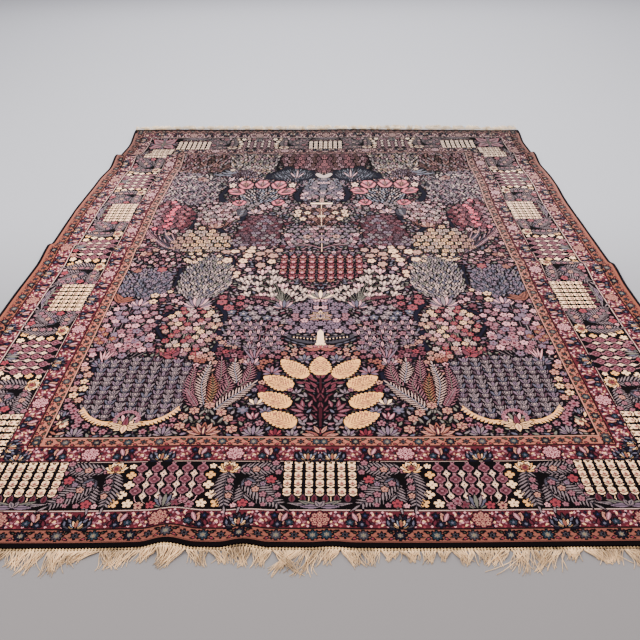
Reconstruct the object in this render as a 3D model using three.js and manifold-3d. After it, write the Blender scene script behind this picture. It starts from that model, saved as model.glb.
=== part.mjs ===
// A hand-knotted wool rug, about 9 ft by 12 ft, lying loose on a floor.
// The pile carpet is one slab that follows the floor except at a few low folds; its two long sides
// are overcast with a wool binding, and each end has a narrow cotton web with its fringe.
// Millimetres, +Z up, +Y towards the far end. The origin is on the floor under the rug's middle.
import * as THREE from "three";
import { mergeVertices } from "three/addons/utils/BufferGeometryUtils.js";
import Module from "manifold-3d";

const manifold = await Module();
manifold.setup();

// ---------------------------------------------------------------- driving dimensions
const RUG_WIDTH = 2740;
const RUG_LENGTH = 3620;
const RUG_THICKNESS = 8;
const BINDING_WIDTH = 9;
const BINDING_HEIGHT = 10;
const WEB_WIDTH = 14;
const WEB_THICKNESS = 5;
const PIECE_GAP = 0.3;
const LOCK_WIDTH = 12;
const LOCK_HEIGHT = 4;
const LOCK_ROOT_DEPTH = 5;
const NEAR_END = { side: -1, locks: 120, reach: "near", pull: "nearPull" };
const FAR_END = { side: 1, locks: 90, reach: "far", pull: "farPull" };

// Ridges that run across the rug. Places and heights are given at the left and right sides and at
// the middle; near and far are the lengths of the two slopes.
const RIDGES = [
  { name: "far ridge", yLeft: 1285, yRight: 1300, left: 32, middle: 27, right: 25, near: 170, far: 95 },
  { name: "middle ridge", yLeft: 25, yRight: -205, left: 20, middle: 7, right: 16, near: 190, far: 70 },
];

// Ripples that run inwards from the near end.
const RIPPLES = [
  { x: -430, height: 20, halfWidth: 85, reach: 280 },
  { x: -215, height: 15, halfWidth: 75, reach: 220 },
  { x: 35, height: 5, halfWidth: 70, reach: 160 },
];

// The far end turns up a little off the floor, more at the left.
const FAR_LIFT = { from: 1580, left: 28, middle: 23, right: 9 };

// How far each long side stands in from a straight edge, and how far each end stands out from one.
const SIDE_INSETS = [
  { y: -1810, left: 0, right: 0 },
  { y: -1200, left: 6, right: 3 },
  { y: -500, left: 10, right: 10 },
  { y: 0, left: 20, right: 9 },
  { y: 500, left: 14, right: 8 },
  { y: 900, left: 26, right: -8 },
  { y: 1250, left: 52, right: 6 },
  { y: 1550, left: 70, right: 10 },
  { y: 1810, left: 66, right: -6 },
];
const END_OFFSETS = [
  { x: -1370, near: 4, far: 18 },
  { x: -700, near: 7, far: 8 },
  { x: -430, near: 3, far: 3 },
  { x: -215, near: 6, far: 0 },
  { x: 300, near: 13, far: -3 },
  { x: 900, near: 10, far: -10 },
  { x: 1370, near: 12, far: -18 },
];

// Length of the fringe beyond its web and the sideways pull of its locks, as a slope.
const FRINGE_LAY = [
  { x: -1370, near: 66, nearPull: 0.25, far: 62, farPull: 0.1 },
  { x: -1180, near: 78, nearPull: 0.5, far: 58, farPull: -0.15 },
  { x: -960, near: 60, nearPull: -0.35, far: 66, farPull: 0.2 },
  { x: -760, near: 74, nearPull: -0.15, far: 60, farPull: -0.1 },
  { x: -560, near: 56, nearPull: -0.5, far: 64, farPull: 0.15 },
  { x: -380, near: 50, nearPull: -0.2, far: 58, farPull: -0.2 },
  { x: -200, near: 72, nearPull: 0.35, far: 66, farPull: 0.1 },
  { x: -40, near: 76, nearPull: -0.3, far: 60, farPull: 0.25 },
  { x: 150, near: 48, nearPull: 0.1, far: 64, farPull: -0.1 },
  { x: 380, near: 44, nearPull: -0.15, far: 62, farPull: 0.2 },
  { x: 560, near: 66, nearPull: -0.45, far: 56, farPull: -0.2 },
  { x: 760, near: 58, nearPull: 0.2, far: 66, farPull: 0.1 },
  { x: 980, near: 62, nearPull: 0.45, far: 60, farPull: -0.1 },
  { x: 1180, near: 74, nearPull: -0.2, far: 62, farPull: 0.2 },
  { x: 1370, near: 60, nearPull: -0.3, far: 60, farPull: 0 },
];

// Grid lines of the slab: stretches of even steps, closer where the cloth bends.
const COLUMN_STRETCHES = [
  { from: -1370, to: -570, steps: 4 },
  { from: -570, to: -75, steps: 10 },
  { from: -75, to: 145, steps: 4 },
  { from: 145, to: 1370, steps: 5 },
];
const ROW_STRETCHES = [
  { from: -1810, to: -1490, steps: 5 },
  { from: -1490, to: -440, steps: 3 },
  { from: -440, to: -15, steps: 8 },
  { from: -15, to: 120, steps: 3 },
  { from: 120, to: 1100, steps: 4 },
  { from: 1100, to: 1400, steps: 10 },
  { from: 1400, to: 1580, steps: 2 },
  { from: 1580, to: 1810, steps: 4 },
];

const NEAR_Y = -RUG_LENGTH / 2;
const HALF_WIDTH = RUG_WIDTH / 2;

// ---------------------------------------------------------------- shape of the laid cloth
function smooth(t) {
  const c = THREE.MathUtils.clamp(t, 0, 1);
  return c * c * (3 - 2 * c);
}

// Value of a named column, blended smoothly between the rows of a table.
function tableValue(rows, key, at, column) {
  let next = rows.findIndex((row) => row[key] >= at);
  if (next < 0) next = rows.length - 1;
  const last = Math.max(next - 1, 0);
  const span = rows[next][key] - rows[last][key] || 1;
  const t = smooth((at - rows[last][key]) / span);
  return THREE.MathUtils.lerp(rows[last][column], rows[next][column], t);
}

// Value at x of a quantity given at the left side, the middle and the right side.
function acrossWidth(row, x) {
  const t = Math.abs(x) / HALF_WIDTH;
  return THREE.MathUtils.lerp(row.middle, x < 0 ? row.left : row.right, smooth(t));
}

function ridgeHeight(ridge, x, y) {
  const crest = THREE.MathUtils.lerp(ridge.yLeft, ridge.yRight, x / RUG_WIDTH + 0.5);
  const run = (y - crest) / (y < crest ? ridge.near : ridge.far);
  return Math.abs(run) < 1 ? (acrossWidth(ridge, x) * (1 + Math.cos(Math.PI * run))) / 2 : 0;
}

function rippleHeight(ripple, x, y) {
  const side = Math.abs(x - ripple.x) / ripple.halfWidth;
  const inwards = (y - NEAR_Y) / ripple.reach;
  if (side >= 1 || inwards >= 1) return 0;
  return (ripple.height * (1 + Math.cos(Math.PI * side)) * (1 - smooth(inwards))) / 2;
}

// Height of the cloth's underside above the floor, from the even coordinates of the woven rug.
function liftAt(x, y) {
  let lift = 0;
  for (const ridge of RIDGES) lift += ridgeHeight(ridge, x, y);
  for (const ripple of RIPPLES) lift += rippleHeight(ripple, x, y);
  const up = (y - FAR_LIFT.from) / (RUG_LENGTH / 2 - FAR_LIFT.from);
  return lift + acrossWidth(FAR_LIFT, x) * smooth(up);
}

// Where a point of the woven rug lies on the floor plan once its edges have wandered.
function layOut(x, y) {
  const left = -HALF_WIDTH + tableValue(SIDE_INSETS, "y", y, "left");
  const right = HALF_WIDTH - tableValue(SIDE_INSETS, "y", y, "right");
  const along = y / RUG_LENGTH + 0.5;
  const near = tableValue(END_OFFSETS, "x", x, "near");
  const far = tableValue(END_OFFSETS, "x", x, "far");
  const laidX = THREE.MathUtils.lerp(left, right, x / RUG_WIDTH + 0.5);
  return { x: laidX, y: y - near * (1 - along) + far * along };
}

function gridLines(stretches) {
  const lines = [stretches[0].from];
  for (const { from, to, steps } of stretches) {
    for (let i = 1; i <= steps; i += 1) lines.push(from + ((to - from) * i) / steps);
  }
  return lines;
}

const COLUMNS = gridLines(COLUMN_STRETCHES);
const ROWS = gridLines(ROW_STRETCHES);

// ---------------------------------------------------------------- solids
// Closed body from a list of equal rings of points, capped at both ends.
function loft(rings) {
  const sides = rings[0].length;
  const positions = rings.flat().flatMap((p) => [p.x, p.y, p.z]);
  const index = [];
  for (let i = 0; i + 1 < rings.length; i += 1) {
    for (let j = 0; j < sides; j += 1) {
      const a = i * sides + j;
      const b = i * sides + ((j + 1) % sides);
      index.push(a, b, b + sides, a, b + sides, a + sides);
    }
  }
  const end = (rings.length - 1) * sides;
  for (let j = 1; j + 1 < sides; j += 1) {
    index.push(0, j + 1, j);
    index.push(end, end + j, end + j + 1);
  }
  const geometry = new THREE.BufferGeometry();
  geometry.setAttribute("position", new THREE.Float32BufferAttribute(positions, 3));
  geometry.setIndex(index);
  return geometry;
}

function carpetGeometry() {
  const across = COLUMNS.length;
  const count = across * ROWS.length;
  const positions = [];
  for (const level of [0, RUG_THICKNESS]) {
    for (const y of ROWS) {
      for (const x of COLUMNS) {
        const laid = layOut(x, y);
        positions.push(laid.x, laid.y, liftAt(x, y) + level);
      }
    }
  }
  const index = [];
  for (let r = 0; r + 1 < ROWS.length; r += 1) {
    for (let c = 0; c + 1 < across; c += 1) {
      const a = r * across + c;
      const d = a + across;
      index.push(a, d + 1, a + 1, a, d, d + 1);
      index.push(a + count, a + 1 + count, d + 1 + count, a + count, d + 1 + count, d + count);
    }
  }
  // Walls join the lower sheet to the upper one, walked round the rim counter-clockwise.
  const last = count - across;
  const wall = (a, b) => index.push(a, b, b + count, a, b + count, a + count);
  for (let c = 0; c + 1 < across; c += 1) {
    wall(c, c + 1);
    wall(last + c + 1, last + c);
  }
  for (let a = 0; a < last; a += across) {
    wall(a + across, a);
    wall(a + across - 1, a + 2 * across - 1);
  }
  const geometry = new THREE.BufferGeometry();
  geometry.setAttribute("position", new THREE.Float32BufferAttribute(positions, 3));
  geometry.setIndex(index);
  return geometry;
}

// Overcast binding of one long side: a six-sided cord with a flat foot, along every row of the slab.
function bindingGeometry(side) {
  const section = [
    { out: 0, up: 0 },
    { out: 0.75, up: 0 },
    { out: 1, up: 0.35 },
    { out: 1, up: 0.7 },
    { out: 0.65, up: 1 },
    { out: 0, up: 1 },
  ];
  const rings = ROWS.map((y) => {
    const laid = layOut(side * HALF_WIDTH, y);
    const lift = liftAt(side * HALF_WIDTH, y);
    const inner = laid.x + side * PIECE_GAP;
    const ring = section.map(({ out, up }) =>
      new THREE.Vector3(inner + side * out * BINDING_WIDTH, laid.y, lift + up * BINDING_HEIGHT));
    return side > 0 ? ring.reverse() : ring;
  });
  return loft(rings);
}

// Rectangular web along one end of the rug.
function webGeometry(end) {
  const edge = end.side * RUG_LENGTH / 2;
  const rings = COLUMNS.map((x) => {
    const laid = layOut(x, edge);
    const lift = liftAt(x, edge);
    const inner = laid.y + end.side * PIECE_GAP;
    const outer = inner + end.side * WEB_WIDTH;
    const ring = [
      new THREE.Vector3(laid.x, inner, lift),
      new THREE.Vector3(laid.x, inner, lift + WEB_THICKNESS),
      new THREE.Vector3(laid.x, outer, lift + WEB_THICKNESS),
      new THREE.Vector3(laid.x, outer, lift),
    ];
    return end.side < 0 ? ring : ring.reverse();
  });
  return loft(rings);
}

// One three-sided lock: from inside the web it comes down to the floor and lies level on it.
function lockGeometry(end, rootX, number) {
  const edge = end.side * RUG_LENGTH / 2;
  const laid = layOut(rootX, edge);
  const rootLift = liftAt(rootX, edge);
  const length = tableValue(FRINGE_LAY, "x", rootX, end.reach) * (1 + Math.sin(number * 1.7) * 0.12);
  const pull = tableValue(FRINGE_LAY, "x", rootX, end.pull) + Math.sin(number * 2.4) * 0.07;
  const steps = [
    { along: -LOCK_ROOT_DEPTH, drop: 0, size: 0.9 },
    { along: length * 0.15, drop: 0.1, size: 1 },
    { along: length * 0.55, drop: 1, size: 0.85 },
    { along: length, drop: 1, size: 0.4 },
  ];
  const rings = steps.map(({ along, drop, size }) => {
    const x = laid.x + Math.max(along, 0) * pull;
    const y = laid.y + end.side * (PIECE_GAP + WEB_WIDTH + along);
    const z = rootLift * (1 - drop);
    const half = (LOCK_WIDTH * size) / 2;
    const ring = [
      new THREE.Vector3(x - half, y, z),
      new THREE.Vector3(x, y, z + LOCK_HEIGHT * size),
      new THREE.Vector3(x + half, y, z),
    ];
    return end.side < 0 ? ring.reverse() : ring;
  });
  return loft(rings);
}

function toSolid(geometry) {
  const bare = geometry.clone();
  bare.deleteAttribute("normal");
  bare.deleteAttribute("uv");
  const merged = mergeVertices(bare, 1e-4);
  return new manifold.Manifold(new manifold.Mesh({
    numProp: 3,
    vertProperties: new Float32Array(merged.attributes.position.array),
    triVerts: new Uint32Array(merged.index.array),
  }));
}

function toGeometry(solid) {
  const { vertProperties, triVerts } = solid.getMesh();
  const geometry = new THREE.BufferGeometry();
  geometry.setAttribute("position", new THREE.BufferAttribute(vertProperties, 3));
  geometry.setIndex(new THREE.BufferAttribute(triVerts, 1));
  return geometry;
}

// Web and locks of one end as a single solid, the locks' roots fused into the web.
function fringeGeometry(end) {
  const solids = [toSolid(webGeometry(end))];
  const pitch = RUG_WIDTH / end.locks;
  for (let i = 0; i < end.locks; i += 1) {
    solids.push(toSolid(lockGeometry(end, -HALF_WIDTH + (i + 0.5) * pitch, i)));
  }
  return toGeometry(manifold.Manifold.union(solids));
}

// ---------------------------------------------------------------- materials and pieces
const MATERIALS = {
  pile: { color: 0x5a3640, roughness: 0.95, metalness: 0 },
  binding: { color: 0x1d1a26, roughness: 0.9, metalness: 0 },
  fringe: { color: 0xd8c8a8, roughness: 0.9, metalness: 0 },
};

const rug = new THREE.Group();

function addPiece(name, geometry, finish) {
  const mesh = new THREE.Mesh(geometry, new THREE.MeshStandardMaterial(MATERIALS[finish]));
  mesh.name = name;
  rug.add(mesh);
}

addPiece("carpet", carpetGeometry(), "pile");
addPiece("binding_left", bindingGeometry(-1), "binding");
addPiece("binding_right", bindingGeometry(1), "binding");
addPiece("fringe_near", fringeGeometry(NEAR_END), "fringe");
addPiece("fringe_far", fringeGeometry(FAR_END), "fringe");

export default rug;
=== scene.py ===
# A hand-knotted wool rug with a garden pattern, about 9 ft by 12 ft, lying loose on a pale floor.

# %% [markdown]
# Its carpet, bindings and fringes are plain solids, and each gets a finished piece in the same place. The
# whole script works in metres, with the rug's own sizes written in millimetres, as a weaver would give
# them.

# %% The frame
import math

import bpy
import numpy as np
from mathutils import Matrix, Vector


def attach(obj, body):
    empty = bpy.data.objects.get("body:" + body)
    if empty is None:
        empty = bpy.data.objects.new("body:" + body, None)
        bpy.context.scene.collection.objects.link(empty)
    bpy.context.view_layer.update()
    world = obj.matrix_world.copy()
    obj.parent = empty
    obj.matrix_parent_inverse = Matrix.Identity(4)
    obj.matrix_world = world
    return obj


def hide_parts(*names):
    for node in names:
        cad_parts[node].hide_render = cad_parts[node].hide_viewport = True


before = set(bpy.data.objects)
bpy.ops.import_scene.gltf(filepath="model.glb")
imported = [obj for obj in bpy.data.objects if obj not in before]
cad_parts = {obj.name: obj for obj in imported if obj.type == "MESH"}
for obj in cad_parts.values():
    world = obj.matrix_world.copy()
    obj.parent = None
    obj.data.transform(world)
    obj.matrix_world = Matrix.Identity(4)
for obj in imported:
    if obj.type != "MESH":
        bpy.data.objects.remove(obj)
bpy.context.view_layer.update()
MM = 0.001

# %% [markdown]
# The camera stands at the near end at head height, a little right of the middle, and looks down on the
# rug by about a third of a right angle. Its turn is built from three plain axes: right, up and back.

# %% The camera
CAMERA_PLACE = Vector((0.0237, -3.159, 1.6129))
CAMERA_PITCH, CAMERA_YAW, CAMERA_ROLL = (math.radians(a) for a in (32.572, -0.5775, -0.7998))
FOCAL_PIXELS, FRAME_PIXELS, SENSOR_MM = 715.81, 640, 36


def add_to_scene(name, data):
    thing = bpy.data.objects.new(name, data)
    bpy.context.scene.collection.objects.link(thing)
    return thing


def add_camera():
    right = Vector((math.cos(CAMERA_YAW), -math.sin(CAMERA_YAW), 0))
    level = Vector((math.sin(CAMERA_YAW), math.cos(CAMERA_YAW), 0))
    ahead = level * math.cos(CAMERA_PITCH) - Vector((0, 0, 1)) * math.sin(CAMERA_PITCH)
    above = right.cross(ahead)
    across = right * math.cos(CAMERA_ROLL) + above * math.sin(CAMERA_ROLL)
    upward = above * math.cos(CAMERA_ROLL) - right * math.sin(CAMERA_ROLL)
    data = bpy.data.cameras.new("camera")
    data.sensor_width = SENSOR_MM
    data.lens = FOCAL_PIXELS / FRAME_PIXELS * SENSOR_MM
    camera = add_to_scene("camera", data)
    camera.matrix_world = Matrix.Translation(CAMERA_PLACE) @ Matrix((across, upward,
        -ahead)).transposed().to_4x4()
    bpy.context.scene.camera = camera
    return camera


camera = add_camera()
print("lens", round(camera.data.lens, 2), "mm")

# %% [markdown]
# The cloth: the pattern, the mesh and the fringe all start from the woven rug's even coordinates, in
# millimetres from its middle. lay_out says where such a place lies on the floor once the sides and ends
# have wandered, and lift_at how high the cloth's underside stands there: two long ridges cross the rug,
# three ripples run in from the near end, and the far end turns up a little.

# %% Sizes, folds and wandering edges
RUG_WIDTH, RUG_LENGTH, RUG_THICKNESS = 2740, 3620, 8
HALF_WIDTH, HALF_LENGTH = RUG_WIDTH / 2, RUG_LENGTH / 2
BINDING_WIDTH, BINDING_HEIGHT = 9, 10
WEB_WIDTH, WEB_THICKNESS, PIECE_GAP = 14, 5, 0.3

RIDGES = (
    dict(y_left=1285, y_right=1300, left=32, middle=27, right=25, near=170, far=95),
    dict(y_left=25, y_right=-205, left=20, middle=7, right=16, near=190, far=70),
)
RIPPLES = (
    dict(x=-430, height=20, half_width=85, reach=280),
    dict(x=-215, height=15, half_width=75, reach=220),
    dict(x=35, height=5, half_width=70, reach=160),
)
FAR_LIFT = dict(start=1580, left=28, middle=23, right=9)

# columns: y, inset of the left side, inset of the right side
SIDE_INSETS = ((-1810, 0, 0), (-1200, 6, 3), (-500, 10, 10), (0, 20, 9), (500, 14, 8), (900, 26, -8),
    (1250, 52, 6), (1550, 70, 10), (1810, 66, -6))
# columns: x, how far the near end stands out, and the far end
END_OFFSETS = ((-1370, 4, 18), (-700, 7, 8), (-430, 3, 3), (-215, 6, 0), (300, 13, -3), (900, 10, -10),
    (1370, 12, -18))
print("ridges:", len(RIDGES), "ripples:", len(RIPPLES))


# %% Reading the tables
def smooth(t):
    t = np.clip(t, 0, 1)
    return t * t * (3 - 2 * t)


def table_value(rows, at, column):
    """A column of a table at some places, blended smoothly from row to row."""
    keys = np.array([row[0] for row in rows], float)
    values = np.array([row[column] for row in rows], float)
    at = np.asarray(at, float)
    after = np.clip(np.searchsorted(keys, at), 1, len(keys) - 1)
    t = smooth((at - keys[after - 1]) / (keys[after] - keys[after - 1]))
    return values[after - 1] * (1 - t) + values[after] * t


def across_width(row, x):
    t = smooth(np.abs(x) / HALF_WIDTH)
    return row["middle"] * (1 - t) + np.where(x < 0, row["left"], row["right"]) * t


print("the left side's inset at the middle:", float(table_value(SIDE_INSETS, 0, 1)), "mm")


# %% How the rug lies
def lift_at(x, y):
    """Height of the cloth's underside over the floor."""
    x, y = np.asarray(x, float), np.asarray(y, float)
    lift = across_width(FAR_LIFT, x) * smooth((y - FAR_LIFT["start"]) / (HALF_LENGTH - FAR_LIFT["start"]))
    for ridge in RIDGES:
        crest = ridge["y_left"] + (ridge["y_right"] - ridge["y_left"]) * (x / RUG_WIDTH + 0.5)
        run = (y - crest) / np.where(y < crest, ridge["near"], ridge["far"])
        lift = lift + across_width(ridge, x) * (1 + np.cos(math.pi * np.clip(run, -1, 1))) / 2
    for ripple in RIPPLES:
        aside = np.clip(np.abs(x - ripple["x"]) / ripple["half_width"], 0, 1)
        inward = (y + HALF_LENGTH) / ripple["reach"]
        lift = lift + ripple["height"] * (1 + np.cos(math.pi * aside)) * (1 - smooth(inward)) / 2
    return lift


def lay_out(x, y):
    """Where a place of the woven rug lies on the floor plan."""
    x, y = np.asarray(x, float), np.asarray(y, float)
    left = -HALF_WIDTH + table_value(SIDE_INSETS, y, 1)
    right = HALF_WIDTH - table_value(SIDE_INSETS, y, 2)
    along = y / RUG_LENGTH + 0.5
    near, far = table_value(END_OFFSETS, x, 1), table_value(END_OFFSETS, x, 2)
    return left + (right - left) * (x / RUG_WIDTH + 0.5), y - near * (1 - along) + far * along


print("highest fold", round(float(lift_at(-HALF_WIDTH, RIDGES[0]["y_left"]))), "mm")

# %% [markdown]
# The pattern is drawn as a weaver works from a chart: one wool for each knot. The chart has about 2.5
# million knots, two millimetres wide, which is what makes the flowers' edges finely stepped. Eight by
# eight of them will sit on each face of the mesh. Drawing knots as numbers in an array is quick, keeps
# the pattern sharp at any distance and needs no picture.

# %% The knots
KNOTS_A_FACE = 8
FACES_ACROSS, FACES_ALONG = 171, 226
KNOTS_ACROSS, KNOTS_ALONG = FACES_ACROSS * KNOTS_A_FACE, FACES_ALONG * KNOTS_A_FACE
KNOT_WIDTH, KNOT_LENGTH = RUG_WIDTH / KNOTS_ACROSS, RUG_LENGTH / KNOTS_ALONG
print("a knot is", round(KNOT_WIDTH, 2), "by", round(KNOT_LENGTH, 2), "mm")

# %% [markdown]
# The dyer's list. The values are the wool's own colours, darker than they look under the lights.

# %% Dyed wools
WOOLS = {
    "night": "090508", "black": "080506", "navy": "110f1a", "slate": "332e34", "steel": "4e4a56",
    "mist": "6d6e7c", "lilac": "67525f", "mauve": "453139", "grey": "6f5e60", "sage": "5f5950",
    "olive": "3b362b", "cream": "dca678", "ivory": "f7c496", "gold": "836143", "peach": "a16c5c",
    "salmon": "754338", "orange": "723f32", "pink": "7d4f57", "shell": "c08285", "rose": "582e36",
    "ruby": "4d1c25", "red": "491a21", "wine": "2f1017", "brick": "4b2b25", "brown": "33231d",
    "teal": "1d2730", "peony": "7c3138", "blue": "21233d", "bone": "ab8a80", "coral": "915446",
    "straw": "de9b5a", "blush": "bf0138",
}
INK = {name: number for number, name in enumerate(WOOLS)}
print(len(WOOLS), "wools")


# %% [markdown]
# Stems and outlines are given by a few points. curve joins them smoothly (a Catmull-Rom line), and inside
# tells which places an outline holds, by counting how often a level line crosses it.

# %% Curves and outlines
def curve(points, step=1.5):
    """A smooth line through the points, as places about one step apart."""
    p = np.asarray(points, float)
    if len(p) == 2:
        count = max(2, int(math.dist(p[0], p[1]) / step))
        return p[0] + (p[1] - p[0]) * np.linspace(0, 1, count)[:, None]
    ends = np.vstack([2 * p[0] - p[1], p, 2 * p[-1] - p[-2]])
    runs = []
    for a, b, c, d in zip(ends, ends[1:], ends[2:], ends[3:]):
        t = np.linspace(0, 1, max(2, int(math.dist(b, c) / step)), endpoint=False)[:, None]
        runs.append(0.5 * (2 * b + (c - a) * t + (2 * a - 5 * b + 4 * c - d) * t * t
            + (3 * b - a - 3 * c + d) * t ** 3))
    return np.vstack(runs + [p[-1:]])


def towards(turn):
    """How far a step of one goes to the right and upwards, for a heading in degrees."""
    return math.cos(math.radians(turn)), math.sin(math.radians(turn))


def inside(outline, x, y):
    """Which of the places x, y lie inside a closed outline."""
    p = np.asarray(outline, float)
    result = np.zeros(np.broadcast(x, y).shape, bool)
    for (ax, ay), (bx, by) in zip(p, np.roll(p, -1, 0)):
        if ay != by:
            crosses = (ay > y) != (by > y)
            result ^= crosses & (x < (bx - ax) * (y - ay) / (by - ay) + ax)
    return result


print("points on a curve", len(curve([(0, 0), (30, 10), (60, 0)])))


# %% [markdown]
# The loom holds the left half of the chart; the right half is its mirror image, as on the real rug. Its
# methods lay knots into a block, an outline or along a thread.

# %% The loom
class Loom:
    """The left half of the carpet as wool numbers, one a knot; x and y are in mm from its middle."""
    def __init__(self, ground):
        self.x = (np.arange(KNOTS_ACROSS // 2) + 0.5) * KNOT_WIDTH - HALF_WIDTH
        self.y = (np.arange(KNOTS_ALONG) + 0.5) * KNOT_LENGTH - HALF_LENGTH
        self.knots = np.full((len(self.y), len(self.x)), INK[ground], np.uint8)
        self.ground = INK[ground]
        self.gap = 4.0
        self.clearing = INK["navy"]

    def patch(self, x, y, reach):
        left, right = np.searchsorted(self.x, (x - reach, x + reach))
        near, far = np.searchsorted(self.y, (y - reach, y + reach))
        return self.knots[near:far, left:right], self.x[left:right][None] - x, self.y[near:far][:, None] - y

    def block(self, x0, y0, x1, y1, wool):
        left, right = np.searchsorted(self.x, (x0, x1))
        near, far = np.searchsorted(self.y, (y0, y1))
        self.knots[near:far, left:right] = INK[wool]

    def fill(self, outline, wool):
        p = np.asarray(outline, float)
        left, right = np.searchsorted(self.x, (p[:, 0].min(), p[:, 0].max()))
        near, far = np.searchsorted(self.y, (p[:, 1].min(), p[:, 1].max()))
        part = self.knots[near:far, left:right]
        part[inside(p, self.x[left:right][None], self.y[near:far][:, None])] = INK[wool]

    def thread(self, points, wool, width=2.0, tip=None, raw=False):
        """A stem: a line of knots, as wide at its start as width and at its end as tip."""
        path = np.asarray(points, float) if raw else curve(points)
        tip = width if tip is None else tip
        radius = np.linspace(width, tip, len(path)) / 2
        column = (path[:, 0] + HALF_WIDTH) / KNOT_WIDTH
        row = (path[:, 1] + HALF_LENGTH) / KNOT_LENGTH
        most = int(max(width, tip) / 2 / KNOT_WIDTH + 0.5)
        for across in range(-most, most + 1):
            for along in range(-most, most + 1):
                near = np.hypot(across, along) * KNOT_WIDTH <= np.maximum(radius, 0.9)
                i, j = np.floor(row[near] + along).astype(int), np.floor(column[near] + across).astype(int)
                good = (i >= 0) & (i < len(self.y)) & (j >= 0) & (j < len(self.x))
                self.knots[i[good], j[good]] = INK[wool]

    def in_clearing(self, x, y):
        """Whether the place was left as a run of open navy between plants."""
        row, column = np.searchsorted(self.y, y) - 1, np.searchsorted(self.x, x) - 1
        return self.knots[row, column] == self.clearing

    def bare(self, x, y, reach):
        """Whether the place has only ground wool around it."""
        part, _, _ = self.patch(x, y, reach)
        return part.size > 0 and bool((part == self.ground).all())


loom = Loom("night")
print("half chart", loom.knots.shape)


def woven(name):
    print(name, "- knots that are not ground:", int((loom.knots != loom.ground).sum()))


# %% [markdown]
# The motifs of such a rug are few: discs, blossoms, leaves, feather leaves, fans of blades and stars.
# The larger ones leave a thin line of ground wool round themselves, which parts them from each other. A
# blossom's edge is a circle with one notch between every two petals.

# %% Discs and blossoms
def disc(x, y, r, wool, heart=None, share=0.4):
    part, across, along = loom.patch(x, y, r + 2)
    away = np.hypot(across, along)
    part[away < r] = INK[wool]
    if heart:
        part[away < max(r * share, 1.3)] = INK[heart]


def blossom(x, y, r, petal, heart=None, petals=5, turn=90, depth=0.35, rim=None, share=0.34, squash=1.0):
    part, across, along = loom.patch(x, y, r * max(1, squash) + 5)
    along = along / squash
    away, angle = np.hypot(across, along), np.arctan2(along, across) - math.radians(turn)
    edge = r * (1 - 1.5 * depth * (0.5 - 0.5 * np.cos(petals * angle)) ** 3)
    if r > 9:
        part[away < edge + loom.gap] = loom.ground
    part[away < edge] = INK[rim or petal]
    if rim:
        part[away < edge - 2.4] = INK[petal]
    if heart:
        part[away < max(r * share, 1.3)] = INK[heart]


def flowers(petal, heart, *places, size=None, **settings):
    """Blossoms at places x, y; after them a place may name its own size and its own petal wool."""
    for x, y, *own in places:
        r = own.pop(0) if own and not isinstance(own[0], str) else size
        blossom(x, y, r, own[0] if own else petal, heart, **settings)


# %% Leaves
def leaf(x, y, length, width, turn, wool, core=None, rim=None, point=0.8, apart=True):
    """A leaf that starts at x, y and points along turn; bare ground is left round it if it stands apart."""
    c, s = towards(turn)
    part, across, along = loom.patch(x + c * length / 2, y + s * length / 2, (length + width) / 2 + 5)
    run = across * c + along * s + length / 2
    aside = np.abs(along * c - across * s)
    share = np.clip(run / length, 0, 1)
    half = width / 2 * np.sin(np.pi * share ** point)
    if apart and length > 13:
        part[(aside < half + loom.gap * 0.8) & (run > 0) & (run < length + loom.gap)] = loom.ground
    part[(aside < half) & (share > 0) & (share < 1)] = INK[rim or wool]
    if rim:
        part[(aside < half - 2.2) & (share > 0.06) & (share < 0.94)] = INK[wool]
    if core:
        part[(aside < np.maximum(half * 0.3, 0.9)) & (share > 0.12) & (share < 0.8)] = INK[core]


# %% Feather leaves
def frond(points, reach, wool, stem="grey", inner=None, gap=9, angle=48, thick=4.2):
    """A feather leaf: a stem from base to tip with slanting leaflets on both sides."""
    path = curve(points, 1.0)
    steps = np.gradient(path, axis=0)
    heading = np.degrees(np.arctan2(steps[:, 1], steps[:, 0]))
    for k in range(0, len(path) - 2, int(gap)):
        along = k / len(path)
        belly = 0.62 + 0.38 * math.sin(math.pi * min(1, along * 1.1 + 0.12))
        size = reach * belly * (1 - 0.35 * along ** 4)
        for side in (1, -1):
            turn = heading[k] + side * angle
            leaf(*path[k], size, thick, turn, wool)
            if inner:
                leaf(*path[k], size * 0.55, thick * 0.8, turn, inner, apart=False)
    loom.thread(path, stem, 2.2, 1.6, raw=True)
    leaf(*path[-1], reach * 0.7, thick * 1.2, heading[-1], wool)


# %% Fans and stars
def fan(x, y, r, spread, blades, wools, turn=90, width=0.3, cores=None, low=0.75):
    """Blades that open from one place, the middle one longest and drawn last."""
    order = sorted(range(blades), key=lambda k: -abs(k - (blades - 1) / 2))
    for k in order:
        aside = (k - (blades - 1) / 2) / max(1, (blades - 1) / 2)
        core = cores[k % len(cores)] if cores else None
        leaf(x, y, r * (1 - (1 - low) * aside ** 2), r * width, turn + aside * spread / 2,
            wools[k % len(wools)], core=core, point=1.1)


def star(x, y, r, petal, heart, petals):
    """A star flower of separate pointed petals."""
    for k in range(petals):
        leaf(x, y, r * 1.05, r * 0.72, 90 + 360 * k / petals, petal, point=1.15)
    disc(x, y, max(2.2, r * 0.24), heart)


# %% [markdown]
# A tree's crown is filled by a staggered grid of places inside its outline, each shaken a little, with one
# motif at each. The shaking is seeded, so that the rug comes out the same each time.

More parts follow.
